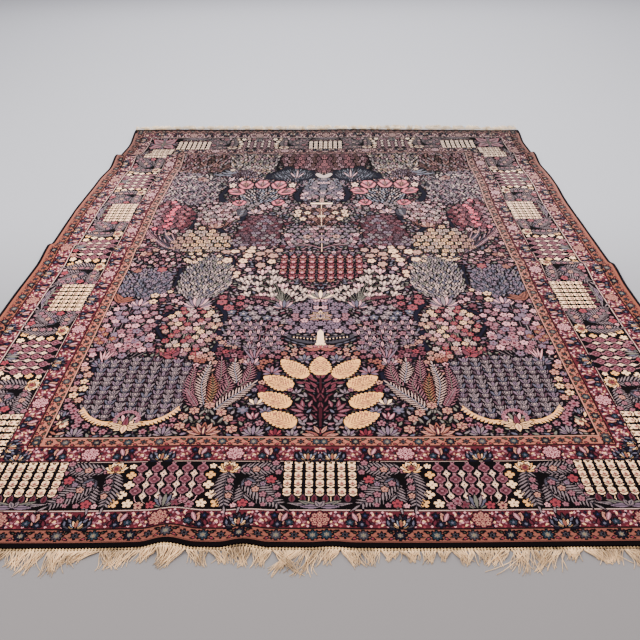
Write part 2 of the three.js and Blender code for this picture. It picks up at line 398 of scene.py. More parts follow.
# %% Places inside an outline
def lattice(outline, pitch, shake, seed, row=0.87):
    """Places on a staggered grid inside an outline, each shaken a little."""
    p = np.asarray(outline, float)
    rng = np.random.default_rng(seed)
    places = []
    x0, y0, x1, y1 = *p.min(0), *p.max(0)
    for j, y in enumerate(np.arange(y0 + pitch * row / 2, y1, pitch * row)):
        for x in np.arange(x0 + pitch * (0.5 if j % 2 else 1), x1, pitch):
            dx, dy = rng.uniform(-shake, shake, 2) * pitch
            places.append((x + dx, y + dy))
    places = np.array(places)
    return places[inside(p, places[:, 0], places[:, 1])]


def dome(x0, x1, y0, y1, shoulder, foot):
    """An outline with a rounded top and narrowing foot, for a crown."""
    middle, half, tall = (x0 + x1) / 2, (x1 - x0) / 2, y1 - y0
    points = []
    for t in np.linspace(0, np.pi, 17):
        points.append((middle + half * np.cos(t), y1 - tall * shoulder * (1 - np.sin(t))))
    for t in np.linspace(0, np.pi, 17)[1:-1]:
        points.append((middle - half * np.cos(t), y0 + tall * foot * (1 - np.sin(t))))
    return points


print("places in a small dome:", len(lattice(dome(0, 100, 0, 100, 0.5, 0.3), 20, 0.2, 1)))

# %% Twigs and groves
def stems(places, root, wool, width=2.0, run=1.0):
    """A stem from each place towards the root, joining as a tree's twigs do."""
    for x, y in places:
        fall, aside = (y - root[1]) * run, (root[0] - x) * 0.35
        loom.thread([(x, y), (x + aside / 2, y - fall * 0.35), (x + aside, y - fall * 0.7)], wool, width)


def grove(outline, pitch, r, wools, seed, root, twig, hearts, leaves, petals=5, depth=0.27, rims=None,
        squash=1.0):
    """A tree's crown of like flowers on twigs, with a pair of leaves under each flower."""
    places = lattice(outline, pitch, 0.22, seed)
    places = np.array([place for place in places if not loom.in_clearing(*place)])
    rng = np.random.default_rng(seed + 100)
    stems(places[::2], root, twig)
    for x, y in places:
        for side in (-1, 1):
            turn = 90 + side * rng.uniform(35, 80)
            leaf(x, y - pitch * 0.42, pitch * 0.5, pitch * 0.17, turn, leaves[rng.integers(len(leaves))])
    for x, y in places:
        size = r * rng.uniform(0.88, 1.1)
        wool, heart = wools[rng.integers(len(wools))], hearts[rng.integers(len(hearts))]
        rim = rims[rng.integers(len(rims))] if rims else None
        blossom(x, y, size, wool, heart, petals, 90 + rng.uniform(-30, 30), depth, rim, 0.27, squash)

# %% [markdown]
# The field's plants are drawn one after another, and what comes later lies on top. First come runs of
# bare navy ground that part one tree from the next; the crowns leave them open.

# %% Open navy
# each row: the width of a run of open ground, then the places it passes
NAVY_RUNS = (
    (15, (-600, -553), (-665, -600), (-688, -660), (-662, -730), (-640, -770)),
    (19, (-452, -510), (-418, -565), (-402, -625), (-418, -700)),
    (22, (-418, -735), (-402, -790), (-424, -868)),
    (9, (-533, -548), (-535, -600), (-522, -660), (-530, -720)),
    (13, (-668, -190), (-664, -260), (-668, -345)),
    (17, (-428, -120), (-420, -200), (-425, -300), (-418, -375)),
    (20, (-545, 248), (-505, 190), (-490, 140), (-470, 60), (-450, 15)),
    (18, (-430, 350), (-412, 430), (-405, 500)),
    (13, (-690, 250), (-682, 350), (-690, 430)),
    (14, (-358, -915), (-372, -890), (-350, -905)),
    (20, (-232, -1010), (-240, -1120)),
    (12, (-862, -965), (-860, -1010)),
)
for width, *places in NAVY_RUNS:
    loom.thread(places, "navy", width, width * 0.7)
woven("open navy")

# %% [markdown]
# At the far end stand tall trees whose leaves are woven as upright flecks. Foliage packs slender leaves
# side by side, and a heading that points away from a root makes them spread like a fan.

# %% Foliage
def thatch(outline, pitch, length, width, wools, seed, heading=lambda x, y: 90, shake=0.3, spread=12,
        core=None):
    """Slender leaves packed side by side, for a crown of foliage."""
    rng = np.random.default_rng(seed)
    for x, y in lattice(outline, pitch, shake, seed, row=0.8):
        turn = heading(x, y) + rng.uniform(-spread, spread)
        c, s = towards(turn)
        leaf(x - c * length / 2, y - s * length / 2, length * rng.uniform(0.8, 1.15), width, turn,
            wools[rng.integers(len(wools))], core=core)


def away_from(root):
    """The heading that points away from a root, for foliage that spreads like a fan."""
    return lambda x, y: math.degrees(math.atan2(y - root[1], x - root[0]))


# %% Streaked trees
left = [(-925, 560), (-925, 1060), (-850, 1075), (-700, 1000), (-620, 960), (-610, 880), (-600, 700),
    (-610, 600), (-680, 560), (-760, 560), (-830, 610), (-890, 620)]
thatch(left, 19, 27, 12, ["grey", "lilac", "slate", "bone", "pink", "mauve", "grey"], 82,
    away_from((-760, -200)), spread=34)
pale = [(-610, 1000), (-600, 1150), (-620, 1350), (-300, 1350), (-290, 1220), (-330, 1060), (-400, 1010)]
thatch(pale, 21, 30, 13, ["grey", "sage", "pink", "bone", "gold", "mauve"], 84, away_from((-440, 500)),
    spread=34)
rusty = [(-925, 1060), (-925, 1350), (-620, 1350), (-600, 1150), (-640, 1060), (-760, 1050)]
thatch(rusty, 21, 30, 13, ["brick", "pink", "rose", "salmon", "brown", "grey"], 86, away_from((-780, 500)),
    spread=34)
thatch([(-550, 960), (-560, 1060), (-520, 1090), (-440, 1080), (-410, 1010), (-430, 960)], 19, 34, 8,
    ["mauve", "lilac", "wine", "mauve"], 87, away_from((-480, 800)))
for x, y, turn in ((-560, 985, 160), (-570, 1010, 150), (-560, 1030, 140), (-600, 1000, 170),
        (-615, 1020, 20)):
    leaf(x, y, 90, 20, turn, "steel", core="mist")
flowers("salmon", "wine", (-740, 940, 26), (-715, 925, 16, "peach"), (-620, 1145, 20, "brick"),
    (-700, 1165, 18), (-675, 1090, 18, "brick"), (-575, 1090, 14, "cream"), (-420, 940, 16),
    (-560, 930, 16, "shell"), (-500, 935, 15, "cream"), squash=1.3)
thatch([(-620, 880), (-620, 960), (-400, 990), (-340, 940), (-400, 930), (-560, 920)], 26, 26, 9,
    ["shell", "lilac", "grey", "salmon"], 88)
woven("streaked trees")

# %% [markdown]
# Over the baskets runs a row of flowering trees: their twigs are threads from a root, their crowns groves of
# one flower in a few wools, with single blooms set one by one.

# %% Rosette tree
outline = [(-925, -880), (-925, -470), (-880, -500), (-800, -480), (-740, -500), (-690, -560), (-680, -640),
    (-680, -760), (-660, -850), (-740, -880), (-800, -900)]
root = (-842, -940)
grove(outline, 39.48, 17.28, ["pink", "shell", "lilac", "pink"], 11, root, "grey",
    hearts=("rose", "lilac", "ruby"), leaves=["grey", "lilac", "sage"], rims=(None, "rose", None))
fan(-842, -955, 52, 170, 9, ["lilac", "steel"], width=0.22)
for turn in (65, 80, 95, 110):
    leaf(-842, -930, 80, 7, turn, "shell")
flowers("orange", "gold", (-900, -705, 15), (-880, -740, 14), (-842, -772, 16), (-905, -775, 15),
    (-884, -800, 14), petals=6)
flowers("pink", "ruby", (-775, -778, 20), (-690, -776, 20), (-767, -822, 20), (-730, -815, 20),
    rim="shell")
woven("rosette tree")

# %% Star tree
outline = [(-640, -870), (-655, -780), (-665, -680), (-650, -590), (-590, -545), (-470, -535), (-425, -590),
    (-405, -660), (-425, -740), (-430, -800), (-415, -870), (-430, -935), (-500, -930)]
grove(outline, 36.12, 14.88, ["peach", "shell", "bone", "cream", "pink", "peony"], 12, (-545, -900), "sage",
    hearts=("rose", "salmon", "gold"), leaves=["sage", "mauve", "grey"], petals=6, depth=0.45)
for turn, long in ((95, 62), (115, 58), (75, 58), (135, 50), (150, 44), (60, 52), (165, 36)):
    leaf(-578, -905, long, 19, turn, "peony" if turn % 2 else "rose", core="rose")
for x, y in ((-600, -855), (-622, -880), (-560, -850), (-640, -860), (-590, -930), (-560, -915)):
    leaf(x, y - 12, 28, 14, 100, "rose", core="peony")
flowers("peach", "rose", (-500, -905, 14), (-470, -900, 14), (-455, -930, 15, "orange"), (-425, -915, 15),
    (-478, -925, 13, "salmon"), (-405, -940, 12), (-450, -895, 13), (-430, -880, 12),
    (-475, -955, 12, "shell"), (-440, -960, 10, "lilac"))
woven("star tree")

# %% Grey tree
root = (-252, -940)
crown = [(-395, -560), (-330, -525), (-240, -530), (-165, -560), (-150, -640), (-140, -760), (-150, -840),
    (-200, -870), (-300, -850), (-370, -840), (-400, -780), (-400, -660)]
for x in (-300, -280, -262, -246, -230, -210):
    loom.thread([root, (-252 + (x + 252) * 0.5, -860), (x, -770), (-252 + (x + 252) * 1.9, -640)], "pink",
        3.4, 2)
for x, y in lattice(crown, 44, 0.2, 13):
    if y > -655:
        star(x, y, 21, ("steel", "lilac", "grey")[(int(x) + int(y)) % 3], "bone", 5)
    elif (int(x * 7 + y)) % 4 == 0:
        blossom(x, y, 15, "pink", "rose")
    else:
        fan(x, y - 20, 38, 170, 5, ["grey", "lilac", "shell"], cores=["mauve"])
flowers("rose", "wine", (-395, -850), (-398, -880), (-372, -868, "peony"), (-345, -862), (-362, -893),
    (-335, -893, "pink"), (-316, -872), (-308, -900), (-285, -905, "pink"), (-338, -925),
    (-300, -930, "peach"), (-318, -950, "pink"), size=14)
flowers("peach", "rose", (-366, -820, 15), (-395, -805, 13), (-410, -775, 14), (-340, -838, 11))
fan(-262, -955, 50, 150, 7, ["lilac", "grey", "shell"])
for turn in (60, 75, 90, 105, 120):
    leaf(-258, -925, 95, 8, turn, "pink" if turn % 2 else "lilac")
woven("grey tree")

# %% Centre tree
crown = [(0, -455), (-70, -470), (-130, -560), (-150, -640), (-140, -730), (-60, -745), (0, -740)]
grove(crown, 35.28, 16.32, ["pink", "lilac", "shell", "lilac"], 14, (0, -730), "lilac",
    hearts=("mauve", "rose"), leaves=["lilac", "steel"], depth=0.4)
for turn, wool in ((90, "cream"), (130, "gold"), (165, "peach"), (205, "gold")):
    leaf(0, -618, 52, 26, turn, wool, core="lilac")
blossom(0, -612, 22, "lilac", "navy", petals=6, rim="cream")
loom.fill([(0, -715), (-12, -735), (-14, -790), (-24, -835), (0, -838)], "ivory")
wing = [(-14, -812), (-50, -815), (-95, -800), (-135, -772), (-138, -752), (-95, -760), (-50, -764),
    (-22, -788)]
loom.fill(wing, "slate")
for k in range(7):
    leaf(-28 - 14 * k, -806 + 4.5 * k, 22, 5, 98, "night")
    disc(-24 - 14 * k, -786 + 2.4 * k, 3, "ivory")
for x, y, turn in ((-60, -825, 160), (-90, -815, 150), (-120, -800, 140), (-45, -830, 190)):
    leaf(x, y, 34, 11, turn, "slate", core="steel")
for turn, long, wool in ((172, 70, "salmon"), (158, 62, "peach"), (140, 40, "pink"), (100, 26, "peach"),
        (188, 56, "salmon")):
    leaf(0, -852, long, 20, turn, wool, core="peony")
flowers("peach", "rose", (-135, -848), (-101, -858), (-142, -882, "salmon"), (-105, -888),
    (-190, -898, "pink"), (-72, -876), (-50, -886, "rose"), (-168, -868, "pink"), (-212, -868, "pink"),
    (-165, -905, "rose"), (-130, -910), (-225, -895, "rose"), (-30, -880, "rose"), (-85, -905, "pink"),
    (-195, -930, "salmon"), (-18, -900, "pink"), size=13)
fan(-62, -925, 40, 150, 5, ["steel", "grey"])
for x, y in ((-165, -838), (-280, -832), (-350, -800)):
    fan(x, y - 16, 34, 200, 7, ["grey", "lilac"], width=0.26)
woven("centre tree")

# %% [markdown]
# Across the middle stand a blue tree, a tree of lilies, a grey dome of feathers and patches of peach and
# ringed flowers, on both sides of a small sprig.

# %% Blue tree
root = (-790, -500)
crown = dome(-925, -682, -450, -185, shoulder=0.45, foot=0.25)
thatch(crown, 16, 25, 10, ["steel", "slate", "lilac", "steel", "grey"], 21, away_from((-800, -620)))
for x, y in lattice(crown, 46, 0.2, 22):
    blossom(x, y, 11, "lilac", "steel", petals=4)
for x, y, turn, long in ((-888, -492, 112, 95), (-872, -480, 122, 70), (-895, -488, 15, 82),
        (-880, -478, 35, 60)):
    leaf(x, y, long, 24, turn, "orange", core="brick")
fan(-790, -520, 60, 140, 7, ["lilac", "shell"], width=0.26)
flowers("pink", "orange", (-870, -205, 20, "salmon"), (-755, -195, 23, "peony"), (-870, -60, 20, "peach"),
    (-893, -190, 14), (-845, -60, 14, "salmon"), (-728, -165, 12), (-905, -150, 14, "shell"),
    (-850, -165, 13), petals=6)
flowers("pink", "rose", (-825, -130, "shell"), (-770, -137), (-800, -112), (-745, -110, "shell"),
    (-850, -110), (-790, -160), (-715, -140, "shell"), (-690, -110), (-700, -75), (-735, -60, "shell"),
    (-770, -75), (-820, -90), size=12)
woven("blue tree")

# %% A lily
def lily(x, y, r, turn, petal="bone", heart="ivory"):
    """A lily seen from the side: three pointed petals over a narrow throat."""
    c, s = towards(turn)
    for aside in (-41.76, 41.76, 0):
        leaf(x - 0.5 * r * c, y - 0.5 * r * s, r * 1.6, r * 0.72, turn + aside, petal,
            core=None if aside else heart, point=0.9)
    leaf(x, y, r * 1.1, r * 0.55, turn + 180, petal)


# %% Lily tree
root = (-165, -515)
rows = ((-332, -276, 100), (-276, -228, 95), (-225, -226, 90), (-214, -280, 80), (-335, -326, 110),
    (-290, -336, 100), (-226, -322, 90), (-346, -376, 120), (-282, -388, 105), (-226, -388, 95),
    (-172, -356, 85), (-155, -398, 80), (-330, -428, 120), (-215, -438, 100), (-280, -282, 95),
    (-110, -372, 75), (-75, -398, 70), (-125, -428, 80), (-262, -440, 115), (-60, -445, 60), (-185, -300, 80),
    (-365, -300, 110), (-95, -470, 60), (-38, -418, 60))
for x, y, turn in rows:
    loom.thread([(x, y), ((x + root[0]) / 2, y - 45), root], "sage", 2)
for x, y, turn in rows:
    lily(x, y, 24, turn, "shell" if (x + y) % 3 == 0 else "bone")
fan(-158, -545, 66, 150, 9, ["lilac", "steel", "shell"], width=0.22)
woven("lily tree")

# %% Feather dome
root = (-532, -470)
crown = dome(-660, -408, -478, -72, shoulder=0.5, foot=0.42)
thatch(crown, 16, 25, 9, ["grey", "sage", "bone", "steel", "grey"], 29, away_from((-532, -620)), spread=18)
fan(-535, -540, 92, 150, 11, ["shell", "lilac", "grey"], width=0.2, low=0.7)
flowers("pink", "rose", (-738, -432, 19, "cream"), (-735, -484, 19, "cream"), (-700, -430, 16, "shell"),
    (-697, -470, 17, "rose"), (-660, -434, 16), (-640, -480, 16, "shell"), (-612, -500, 14, "shell"),
    (-770, -455, 14, "lilac"), (-675, -400, 12, "cream"), (-655, -535, 18, "rose"), (-620, -455, 12),
    (-720, -520, 13))
for x, y, r in ((-430, -497, 25), (-350, -458, 19), (-350, -511, 19), (-396, -543, 25), (-430, -455, 19)):
    blossom(x, y, r, "peony", "rose", petals=6, depth=0.2, rim="rose")
    leaf(x - 8, y - 8, 16, 5, 60, "pink")
frond([(-300, -450), (-245, -462), (-185, -480)], 18, "rose", stem="ruby", gap=9, thick=5)
flowers("pink", "ruby", (-322, -488), (-385, -470), (-300, -500), (-270, -490), (-235, -500), (-210, -465),
    (-325, -528), size=12)
woven("feather dome")

# %% Peach flowers
for x, y, r, wool in ((-430, -25, 25, "cream"), (-472, -32, 22, "peach"), (-352, -20, 25, "cream"),
        (-360, -76, 23, "cream"), (-300, -52, 23, "peach"), (-236, -75, 24, "peach"),
        (-455, -120, 24, "cream"), (-378, -126, 22, "cream"), (-240, -132, 20, "cream"),
        (-290, -165, 22, "peach"), (-305, -104, 16, "peach"), (-380, -168, 16, "shell"),
        (-395, -235, 17, "cream"), (-398, -265, 14, "cream"), (-346, -205, 15, "shell"),
        (-262, -15, 20, "peach"), (-212, -5, 19, "peach"), (-300, 25, 18, "shell"), (-396, 22, 18, "peach"),
        (-345, 22, 17, "cream"), (-250, -190, 14, "shell"), (-205, -180, 13, "pink"),
        (-420, -200, 12, "peach"), (-330, -235, 12, "lilac")):
    blossom(x, y, r * 1.08, wool, "gold", turn=45, depth=0.22, share=0.25, rim="peach" if wool == "cream"
        else None)
    disc(x, y, 3, "salmon")
flowers("cream", "salmon", (-655, -113, 13), (-640, -127, 14), (-610, -132, 13), (-590, -110, 13),
    (-600, -58, 14), (-625, -90, 11), (-570, -75, 12), (-640, -60, 12), (-500, -80, 12), (-490, -140, 11))
woven("peach flowers")

# %% Sweeping leaves
for k, (x, y) in enumerate(((-700, -40), (-730, -20), (-760, 10), (-790, 40), (-820, 80), (-700, 40),
        (-745, 80), (-850, 120))):
    frond([(x, y), (x - 50, y + 70), (x - 80, y + 150)], 20, ("lilac", "mauve", "steel", "pink")[k % 4],
        stem="shell", gap=10, thick=5.5, inner="mauve")
for k, (x, y) in enumerate(((-890, 150), (-862, 118), (-905, 60), (-880, 30), (-915, 190), (-800, 190),
        (-770, 220), (-725, 215), (-850, 20), (-820, -20), (-780, -40), (-890, -20), (-840, 210))):
    blossom(x, y, 17, ("pink", "peach", "shell", "rose")[k % 4], "ruby")
woven("sweeping leaves")

# %% Ring flowers
outline = [(-770, 20), (-760, 150), (-730, 200), (-650, 255), (-590, 245), (-520, 205), (-455, 150),
    (-440, 70), (-470, 10), (-520, -25), (-640, -35), (-720, -20)]
places = lattice(outline, 41, 0.14, 31, row=0.92)
stems(places, (-600, -140), "olive", 2.4, run=0.5)
for x, y in places:
    blossom(x, y, 17, ("cream", "straw", "bone", "peach")[round(x + y) % 4], "brown", petals=6, depth=0.24,
        share=0.56)
    disc(x, y, 5, "peach")
    leaf(x - 9, y - 24, 16, 7, 130, "olive")
    leaf(x + 9, y - 24, 16, 7, 50, "gold")
woven("ring flowers")

# %% Wine tree
outline = [(-470, 60), (-445, 150), (-430, 260), (-400, 380), (-330, 420), (-250, 400), (-205, 330),
    (-215, 200), (-215, 100), (-250, 45), (-380, 40)]
loom.fill(outline, "wine")
grove(outline, 31.92, 13.92, ["mauve", "lilac", "rose", "grey"], 42, (-330, 0), "mauve", hearts=("wine",),
    depth=0.3, leaves=["mauve", "slate"])
flowers("ruby", "wine", (-240, 310), (-185, 300), (-260, 285), (-420, 290), (-400, 240), size=14)
woven("wine tree")

# %% Middle sprig
loom.thread([(0, -20), (0, 180)], "cream", 8, 4)
for knees in (((0, 15), (-55, 48), (-105, 72), (-138, 98)), ((0, 70), (-35, 110), (-60, 125)),
        ((-60, 50), (-120, 52), (-165, 62)), ((0, 120), (-30, 170), (-70, 200), (-110, 230))):
    loom.thread(knees, "pink", 6, 3)
grove([(-200, 20), (-205, 200), (-160, 265), (-80, 290), (0, 300), (0, 40), (-80, 90), (-140, 20)], 32.76,
    13.44, ["lilac", "shell", "grey", "pink"], 43, (0, 40), "sage", hearts=("mauve", "rose"),
    leaves=["sage", "lilac"])
flowers("shell", "wine", (-75, 145, 20, "peach"), (-178, 165, 18), (-175, 120, 18, "rose"),
    (-196, 42, 16, "ruby"), (-145, 12, 13, "ruby"), (-112, 102, 14, "pink"), (-25, 108, 13),
    (-115, -25, 16, "lilac"), (-60, -30, 13), (-150, -40, 13, "lilac"), (-20, -45, 12, "grey"))
woven("middle sprig")

# %% [markdown]
# Further up come a crimson bush, a tree of cream stars, and round a grey spray seven large peonies with
# lapped petals.

# %% Crimson bush
outline = [(-915, 260), (-920, 480), (-895, 600), (-850, 610), (-760, 540), (-695, 440), (-690, 320),
    (-740, 255), (-830, 235)]
thatch(outline, 30, 26, 8, ["grey", "lilac", "sage"], 51, away_from((-800, 60)))
for k, (x, y) in enumerate(lattice(outline, 36, 0.22, 52)):
    blossom(x, y, 15.5, ("blush", "rose", "peony", "ruby", "pink", "rose")[k % 6],
        "wine" if k % 2 else "pink", depth=0.28, share=0.25, squash=1.15)
woven("crimson bush")

# %% Cream star tree
outline = [(-680, 300), (-675, 420), (-690, 520), (-640, 580), (-520, 575), (-470, 530), (-420, 470),
    (-440, 400), (-480, 330), (-540, 290), (-600, 285)]
grove(outline, 34.44, 14.4, ["shell", "bone", "pink", "grey"], 53, (-560, 240), "salmon",
    hearts=("wine", "rose"), leaves=["sage", "mauve", "brown"], petals=5, depth=0.45)
fan(-562, 250, 62, 120, 5, ["salmon", "peach"])
loom.fill(curve([(-470, 480), (-440, 500), (-412, 470), (-412, 420), (-440, 390), (-462, 420), (-470, 480)],
    6), "slate")
for k in range(5):
    leaf(-452 + 2 * k, 400 + 17 * k, 36, 7, 45, "mist" if k % 2 else "grey")
woven("cream star tree")

# %% A peony
def peony(x, y, wide, tall, turn, heart="pink"):
    """A full bloom with a dark rim and lighter lapped petals."""
    a = np.linspace(0, 2 * math.pi, 28, endpoint=False)
    lobe = 1 + 0.05 * np.cos(6 * a)
    across, along = wide / 2 * np.cos(a) * lobe, tall / 2 * np.sin(a) * lobe
    c, s = towards(turn)
    edge = np.column_stack((across * s + along * c, along * s - across * c))
    for size, wool in ((1.1, "night"), (1, "peony"), (0.88, "blush"), ((0.5, 0.6), heart)):
        loom.fill(edge * size + (x, y), wool)
    for aside in (-26, 0, 26):
        leaf(x - c * tall * 0.36, y - s * tall * 0.36, tall * 0.78, wide * 0.09, turn + aside,
            "rose" if aside else "salmon")


# %% Peony bush
for x in (-578, -142):
    loom.thread([(x + 14, 610), (x - 8, 680), (x + 2, 740), (x + 12, 800)], "navy", 34, 10)
spray = [(-490, 690), (-440, 590), (-363, 560), (-290, 590), (-235, 690), (-290, 780), (-363, 790),
    (-430, 780)]
thatch(spray, 23, 27, 9, ["steel", "mist", "grey", "bone"], 90, away_from((-363, 540)), spread=10)
flowers("grey", "rose", (-440, 520), (-400, 500), (-320, 505, "shell"), (-285, 525, "shell"), (-250, 500),
    (-480, 520), (-420, 560), (-305, 560), (-520, 555, "shell"), (-205, 545, "shell"), (-362, 560),
    (-390, 540), (-332, 535, "shell"), (-190, 590), (-205, 470), (-230, 440), (-540, 520), size=16,
    squash=1.3)
fan(-362, 435, 62, 150, 7, ["shell", "peach", "lilac"], width=0.28)
peony(-505, 745, 88, 108, 140)
peony(-212, 745, 88, 108, 40)
peony(-462, 846, 88, 128, 97, heart="orange")
peony(-266, 844, 90, 122, 84)
peony(-365, 855, 86, 124, 90)
peony(-465, 578, 78, 76, 100)
peony(-246, 580, 74, 76, 80)
flowers("cream", "gold", (-541, 838, 22), (-186, 838, 22), rim="shell", squash=1.6)
woven("peony bush")

# %% Upper centre
loom.thread([(0, 280), (0, 560)], "cream", 7, 5)
for x, y, r, wool in ((-127, 460, 20, "cream"), (-72, 505, 20, "peach"), (-76, 440, 18, "cream"),
        (-132, 412, 20, "cream"), (-100, 362, 19, "cream"), (-55, 388, 18, "peach"), (-12, 480, 18, "orange"),
        (-30, 430, 17, "lilac"), (-40, 530, 16, "shell"), (-100, 540, 17, "peach"), (-35, 352, 15, "salmon"),
        (-10, 395, 14, "cream"), (-132, 510, 14, "shell"), (-160, 430, 13, "grey"), (-70, 320, 13, "pink")):
    blossom(x, y, r, wool, "brown", squash=1.15)
    loom.thread([(x, y - r), (x * 0.5, y - 60), (0, y - 90)], "salmon", 2.4)
loom.block(-62, 556, 0, 574, "ivory")
leaf(0, 575, 70, 26, 90, "peach", core="orange")
crown = [(0, 660), (-30, 700), (-70, 600), (-118, 600), (-122, 700), (-122, 860), (-118, 930), (0, 950)]
grove(crown, 30.24, 13.44, ["lilac", "grey", "steel", "shell"], 61, (0, 600), "grey", hearts=("mauve",),
    squash=1.35, leaves=["slate", "lilac"])
blossom(-40, 655, 19, "pink", "rose", squash=1.4)
woven("upper centre")

# %% [markdown]
# Under the far border two dark wings carry a fan of red flowers, and a dome of tulips stands in the
# middle of the rug.

# %% Wings
edge = curve([(-352, 940), (-350, 1000), (-300, 1050), (-262, 1100), (-225, 1165), (-200, 1120), (-120, 1085),
    (-60, 1060), (-50, 960), (-120, 900), (-230, 905), (-300, 925), (-352, 940)], 8)
loom.fill(edge, "navy")
wing = curve([(-325, 962), (-300, 1015), (-250, 1065), (-180, 1092), (-110, 1075), (-75, 1030), (-82, 965),
    (-140, 935), (-240, 930), (-325, 962)], 8)
loom.fill(wing, "teal")
thatch(wing, 17, 44, 4.5, ["steel", "mist", "steel", "slate"], 71, away_from((-150, 760)), spread=6)
fan(-165, 945, 140, 50, 5, ["shell", "steel"], width=0.06)
under = [(-300, 915), (-240, 925), (-120, 905), (-60, 940), (-60, 850), (-120, 860), (-210, 930)]
thatch(under, 20, 34, 8, ["steel", "mist", "slate", "lilac"], 72, away_from((-150, 700)))
loom.fill(curve([(0, 950), (-30, 962), (-52, 1005), (-40, 1028), (-18, 1012), (0, 985), (0, 950)], 5), "bone")
woven("wings")

# %% Fan tree
outline = curve([(0, 1045), (-60, 1075), (-120, 1100), (-180, 1130), (-250, 1150), (-285, 1200), (-270, 1270),
    (-220, 1310), (-120, 1340), (0, 1350), (0, 1045)], 12)
loom.fill(outline, "wine")
thatch(outline, 19, 40, 8, ["wine", "night", "brown"], 73, away_from((0, 900)), spread=8)
for k, (x, y) in enumerate(lattice(outline, 29, 0.2, 74, row=1.2)):
    blossom(x, y, 13.5, ("rose", "peony", "rose", "pink", "brick")[k % 5], "wine", depth=0.3, share=0.3,
        squash=1.5)
loom.thread([(-290, 1080), (-300, 1150), (-288, 1215), (-262, 1270)], "black", 10, 6)
woven("fan tree")

# %% Tulip dome
for x in (0, -45, -90, -135, -180):
    foot = -322 + 0.0023 * x * x
    for k, y in enumerate(np.arange(-88, foot, -24)):
        if k % 2 == 0:
            blossom(x, y, 15, "peony", "shell", petals=3, turn=270, depth=0.22, share=0.45)
            disc(x, y - 2, 3, "wine")
        else:
            for side in (-1, 1):
                leaf(x, y - 15, 29, 11, 90 + side * 36, "coral" if k % 4 == 1 else "peony", core="wine")
    leaf(x, -80, 26, 9, 90, "peony")
fan(0, -470, 78, 160, 9, ["sage", "ivory", "grey"], width=0.2)
woven("tulip dome")

# %% [markdown]
# Near the viewer the drawing is finest: a basket of grey flowers in slanting columns, held by a crescent
# of cream leaves, with a garland beside it.

# %% Basket dome
for column, x in enumerate(np.arange(-832, -500, 40.4)):
    from_middle = abs(x + 672) / 180
    first = -1236 + 30 * from_middle ** 2 - 32 * (1 - min(1, abs(from_middle - 0.6) * 2.5))
    last = -894 - 62 * from_middle ** 2.4
    loom.thread([(x + 20, first + 10), (x + 20, last - 10)], "wine", 2.4)
    for k, y in enumerate(np.arange(first, last, 27)):
        wool = ("grey", "lilac", "grey", "steel", "mauve")[(2 * k + column) % 5]
        for side in (-1, 1):
            leaf(x, y - 19, 35, 11.5, 90 + side * 35, wool, core="slate" if k % 2 else None)
            leaf(x + side * 5, y + 1, 13, 6, 90 + side * 66, "grey")
        if (k + column) % 2:
            leaf(x, y - 14, 30, 11, 90, "grey" if k % 3 else "lilac", core="slate")
            disc(x, y + 8, 2.4, "bone")
        else:
            blossom(x, y, 12, "grey", "slate", depth=0.15, share=0.62)
            disc(x, y, 3.4, "bone")
for side in (-1, 1):
    aside = lambda distance: side * distance - 668
    crescent = [(aside(-170), -1203), (aside(-138), -1247), (aside(-90), -1279), (aside(-37), -1288)]
    loom.thread(crescent, "straw", 4, 15)
    path = curve(crescent)
    for k in range(6, len(path), 9):
        leaf(path[k][0], path[k][1] - 3, 18, 8, 270 - side * 50, "cream" if k % 2 else "straw", apart=False)
        leaf(*path[k], 11, 4, 270 - side * 74, "peach", apart=False)
    loom.thread([(aside(-32), -1272), (aside(-44), -1296)], "night", 2)
disc(-668, -1265, 36, "night")
fan(-668, -1296, 62, 165, 9, ["sage", "grey", "shell"], width=0.2, low=0.78)
for a in np.linspace(-0.3, math.pi + 0.3, 12):
    disc(-668 + 40 * math.cos(a), -1265 + 40 * math.sin(a), 7.5, "pink", heart="rose")
fan(-668, -1316, 56, 120, 5, ["gold", "cream", "peach"], low=0.7)
leaf(-668, -1322, 70, 20, 90, "rose", core="ruby")
for turn, long in ((158, 62), (22, 62), (180, 50), (0, 50), (205, 36), (335, 36)):
    leaf(-668, -1308, long, 15, turn, "cream", core="gold")
leaf(-668, -1296, 42, 22, 270, "cream", core="peach")
flowers("pink", "ruby", (-800, -1300), (-766, -1316), (-735, -1329), (-600, -1331), (-567, -1314),
    (-536, -1304), (-508, -1273, 12.5), (-508, -1303, 11.2), size=13.8, share=0.4)
woven("basket dome")

# %% Garland
flowers("peach", "salmon", (-895, -972, 18.2), (-873, -1010, 18.2), (-903, -1020, 13, "lilac"),
    (-876, -1052, 15.6, "cream"), (-902, -1095, 18.2), (-868, -1093, 16.9, "cream"),
    (-893, -1133, 16.9, "cream"), (-866, -1160, 15.6), (-905, -945, 14.3, "shell"),
    (-908, -1228, 11.7, "lilac"))
flowers("pink", "ruby", (-901, -1060, 11.7), (-905, -1160, 11.7), (-890, -1195, 19.5), (-864, -1220, 16.9),
    (-851, -1249, 15.6), (-833, -1271, 15.6), (-836, -1301, 15.6))
blossom(-884, -1290, 21, "cream", "salmon", petals=8, depth=0.25, rim="peach")
for x, y, turn, wool in ((-893, -1250, 60, "lilac"), (-893, -1250, 120, "grey"), (-893, -1250, 90, "steel"),
        (-905, -1320, 70, "salmon"), (-890, -1342, 20, "peach"), (-890, -1342, 150, "salmon"),
        (-915, -1240, 290, "cream"), (-870, -1262, 230, "sage")):
    leaf(x, y, 30, 10, turn, wool)
fan(-828, -1349, 42, 160, 7, ["lilac", "grey"], width=0.26)
fan(-530, -1349, 46, 170, 7, ["grey", "lilac"], width=0.24)
leaf(-480, -1345, 26, 8, 150, "grey")
woven("garland")

# %% [markdown]
# Next to the basket grows a tree of red and pale plumes, and in the middle one with large cream leaves.
# A plume is a stem with a comb of slanting leaflets on both sides.

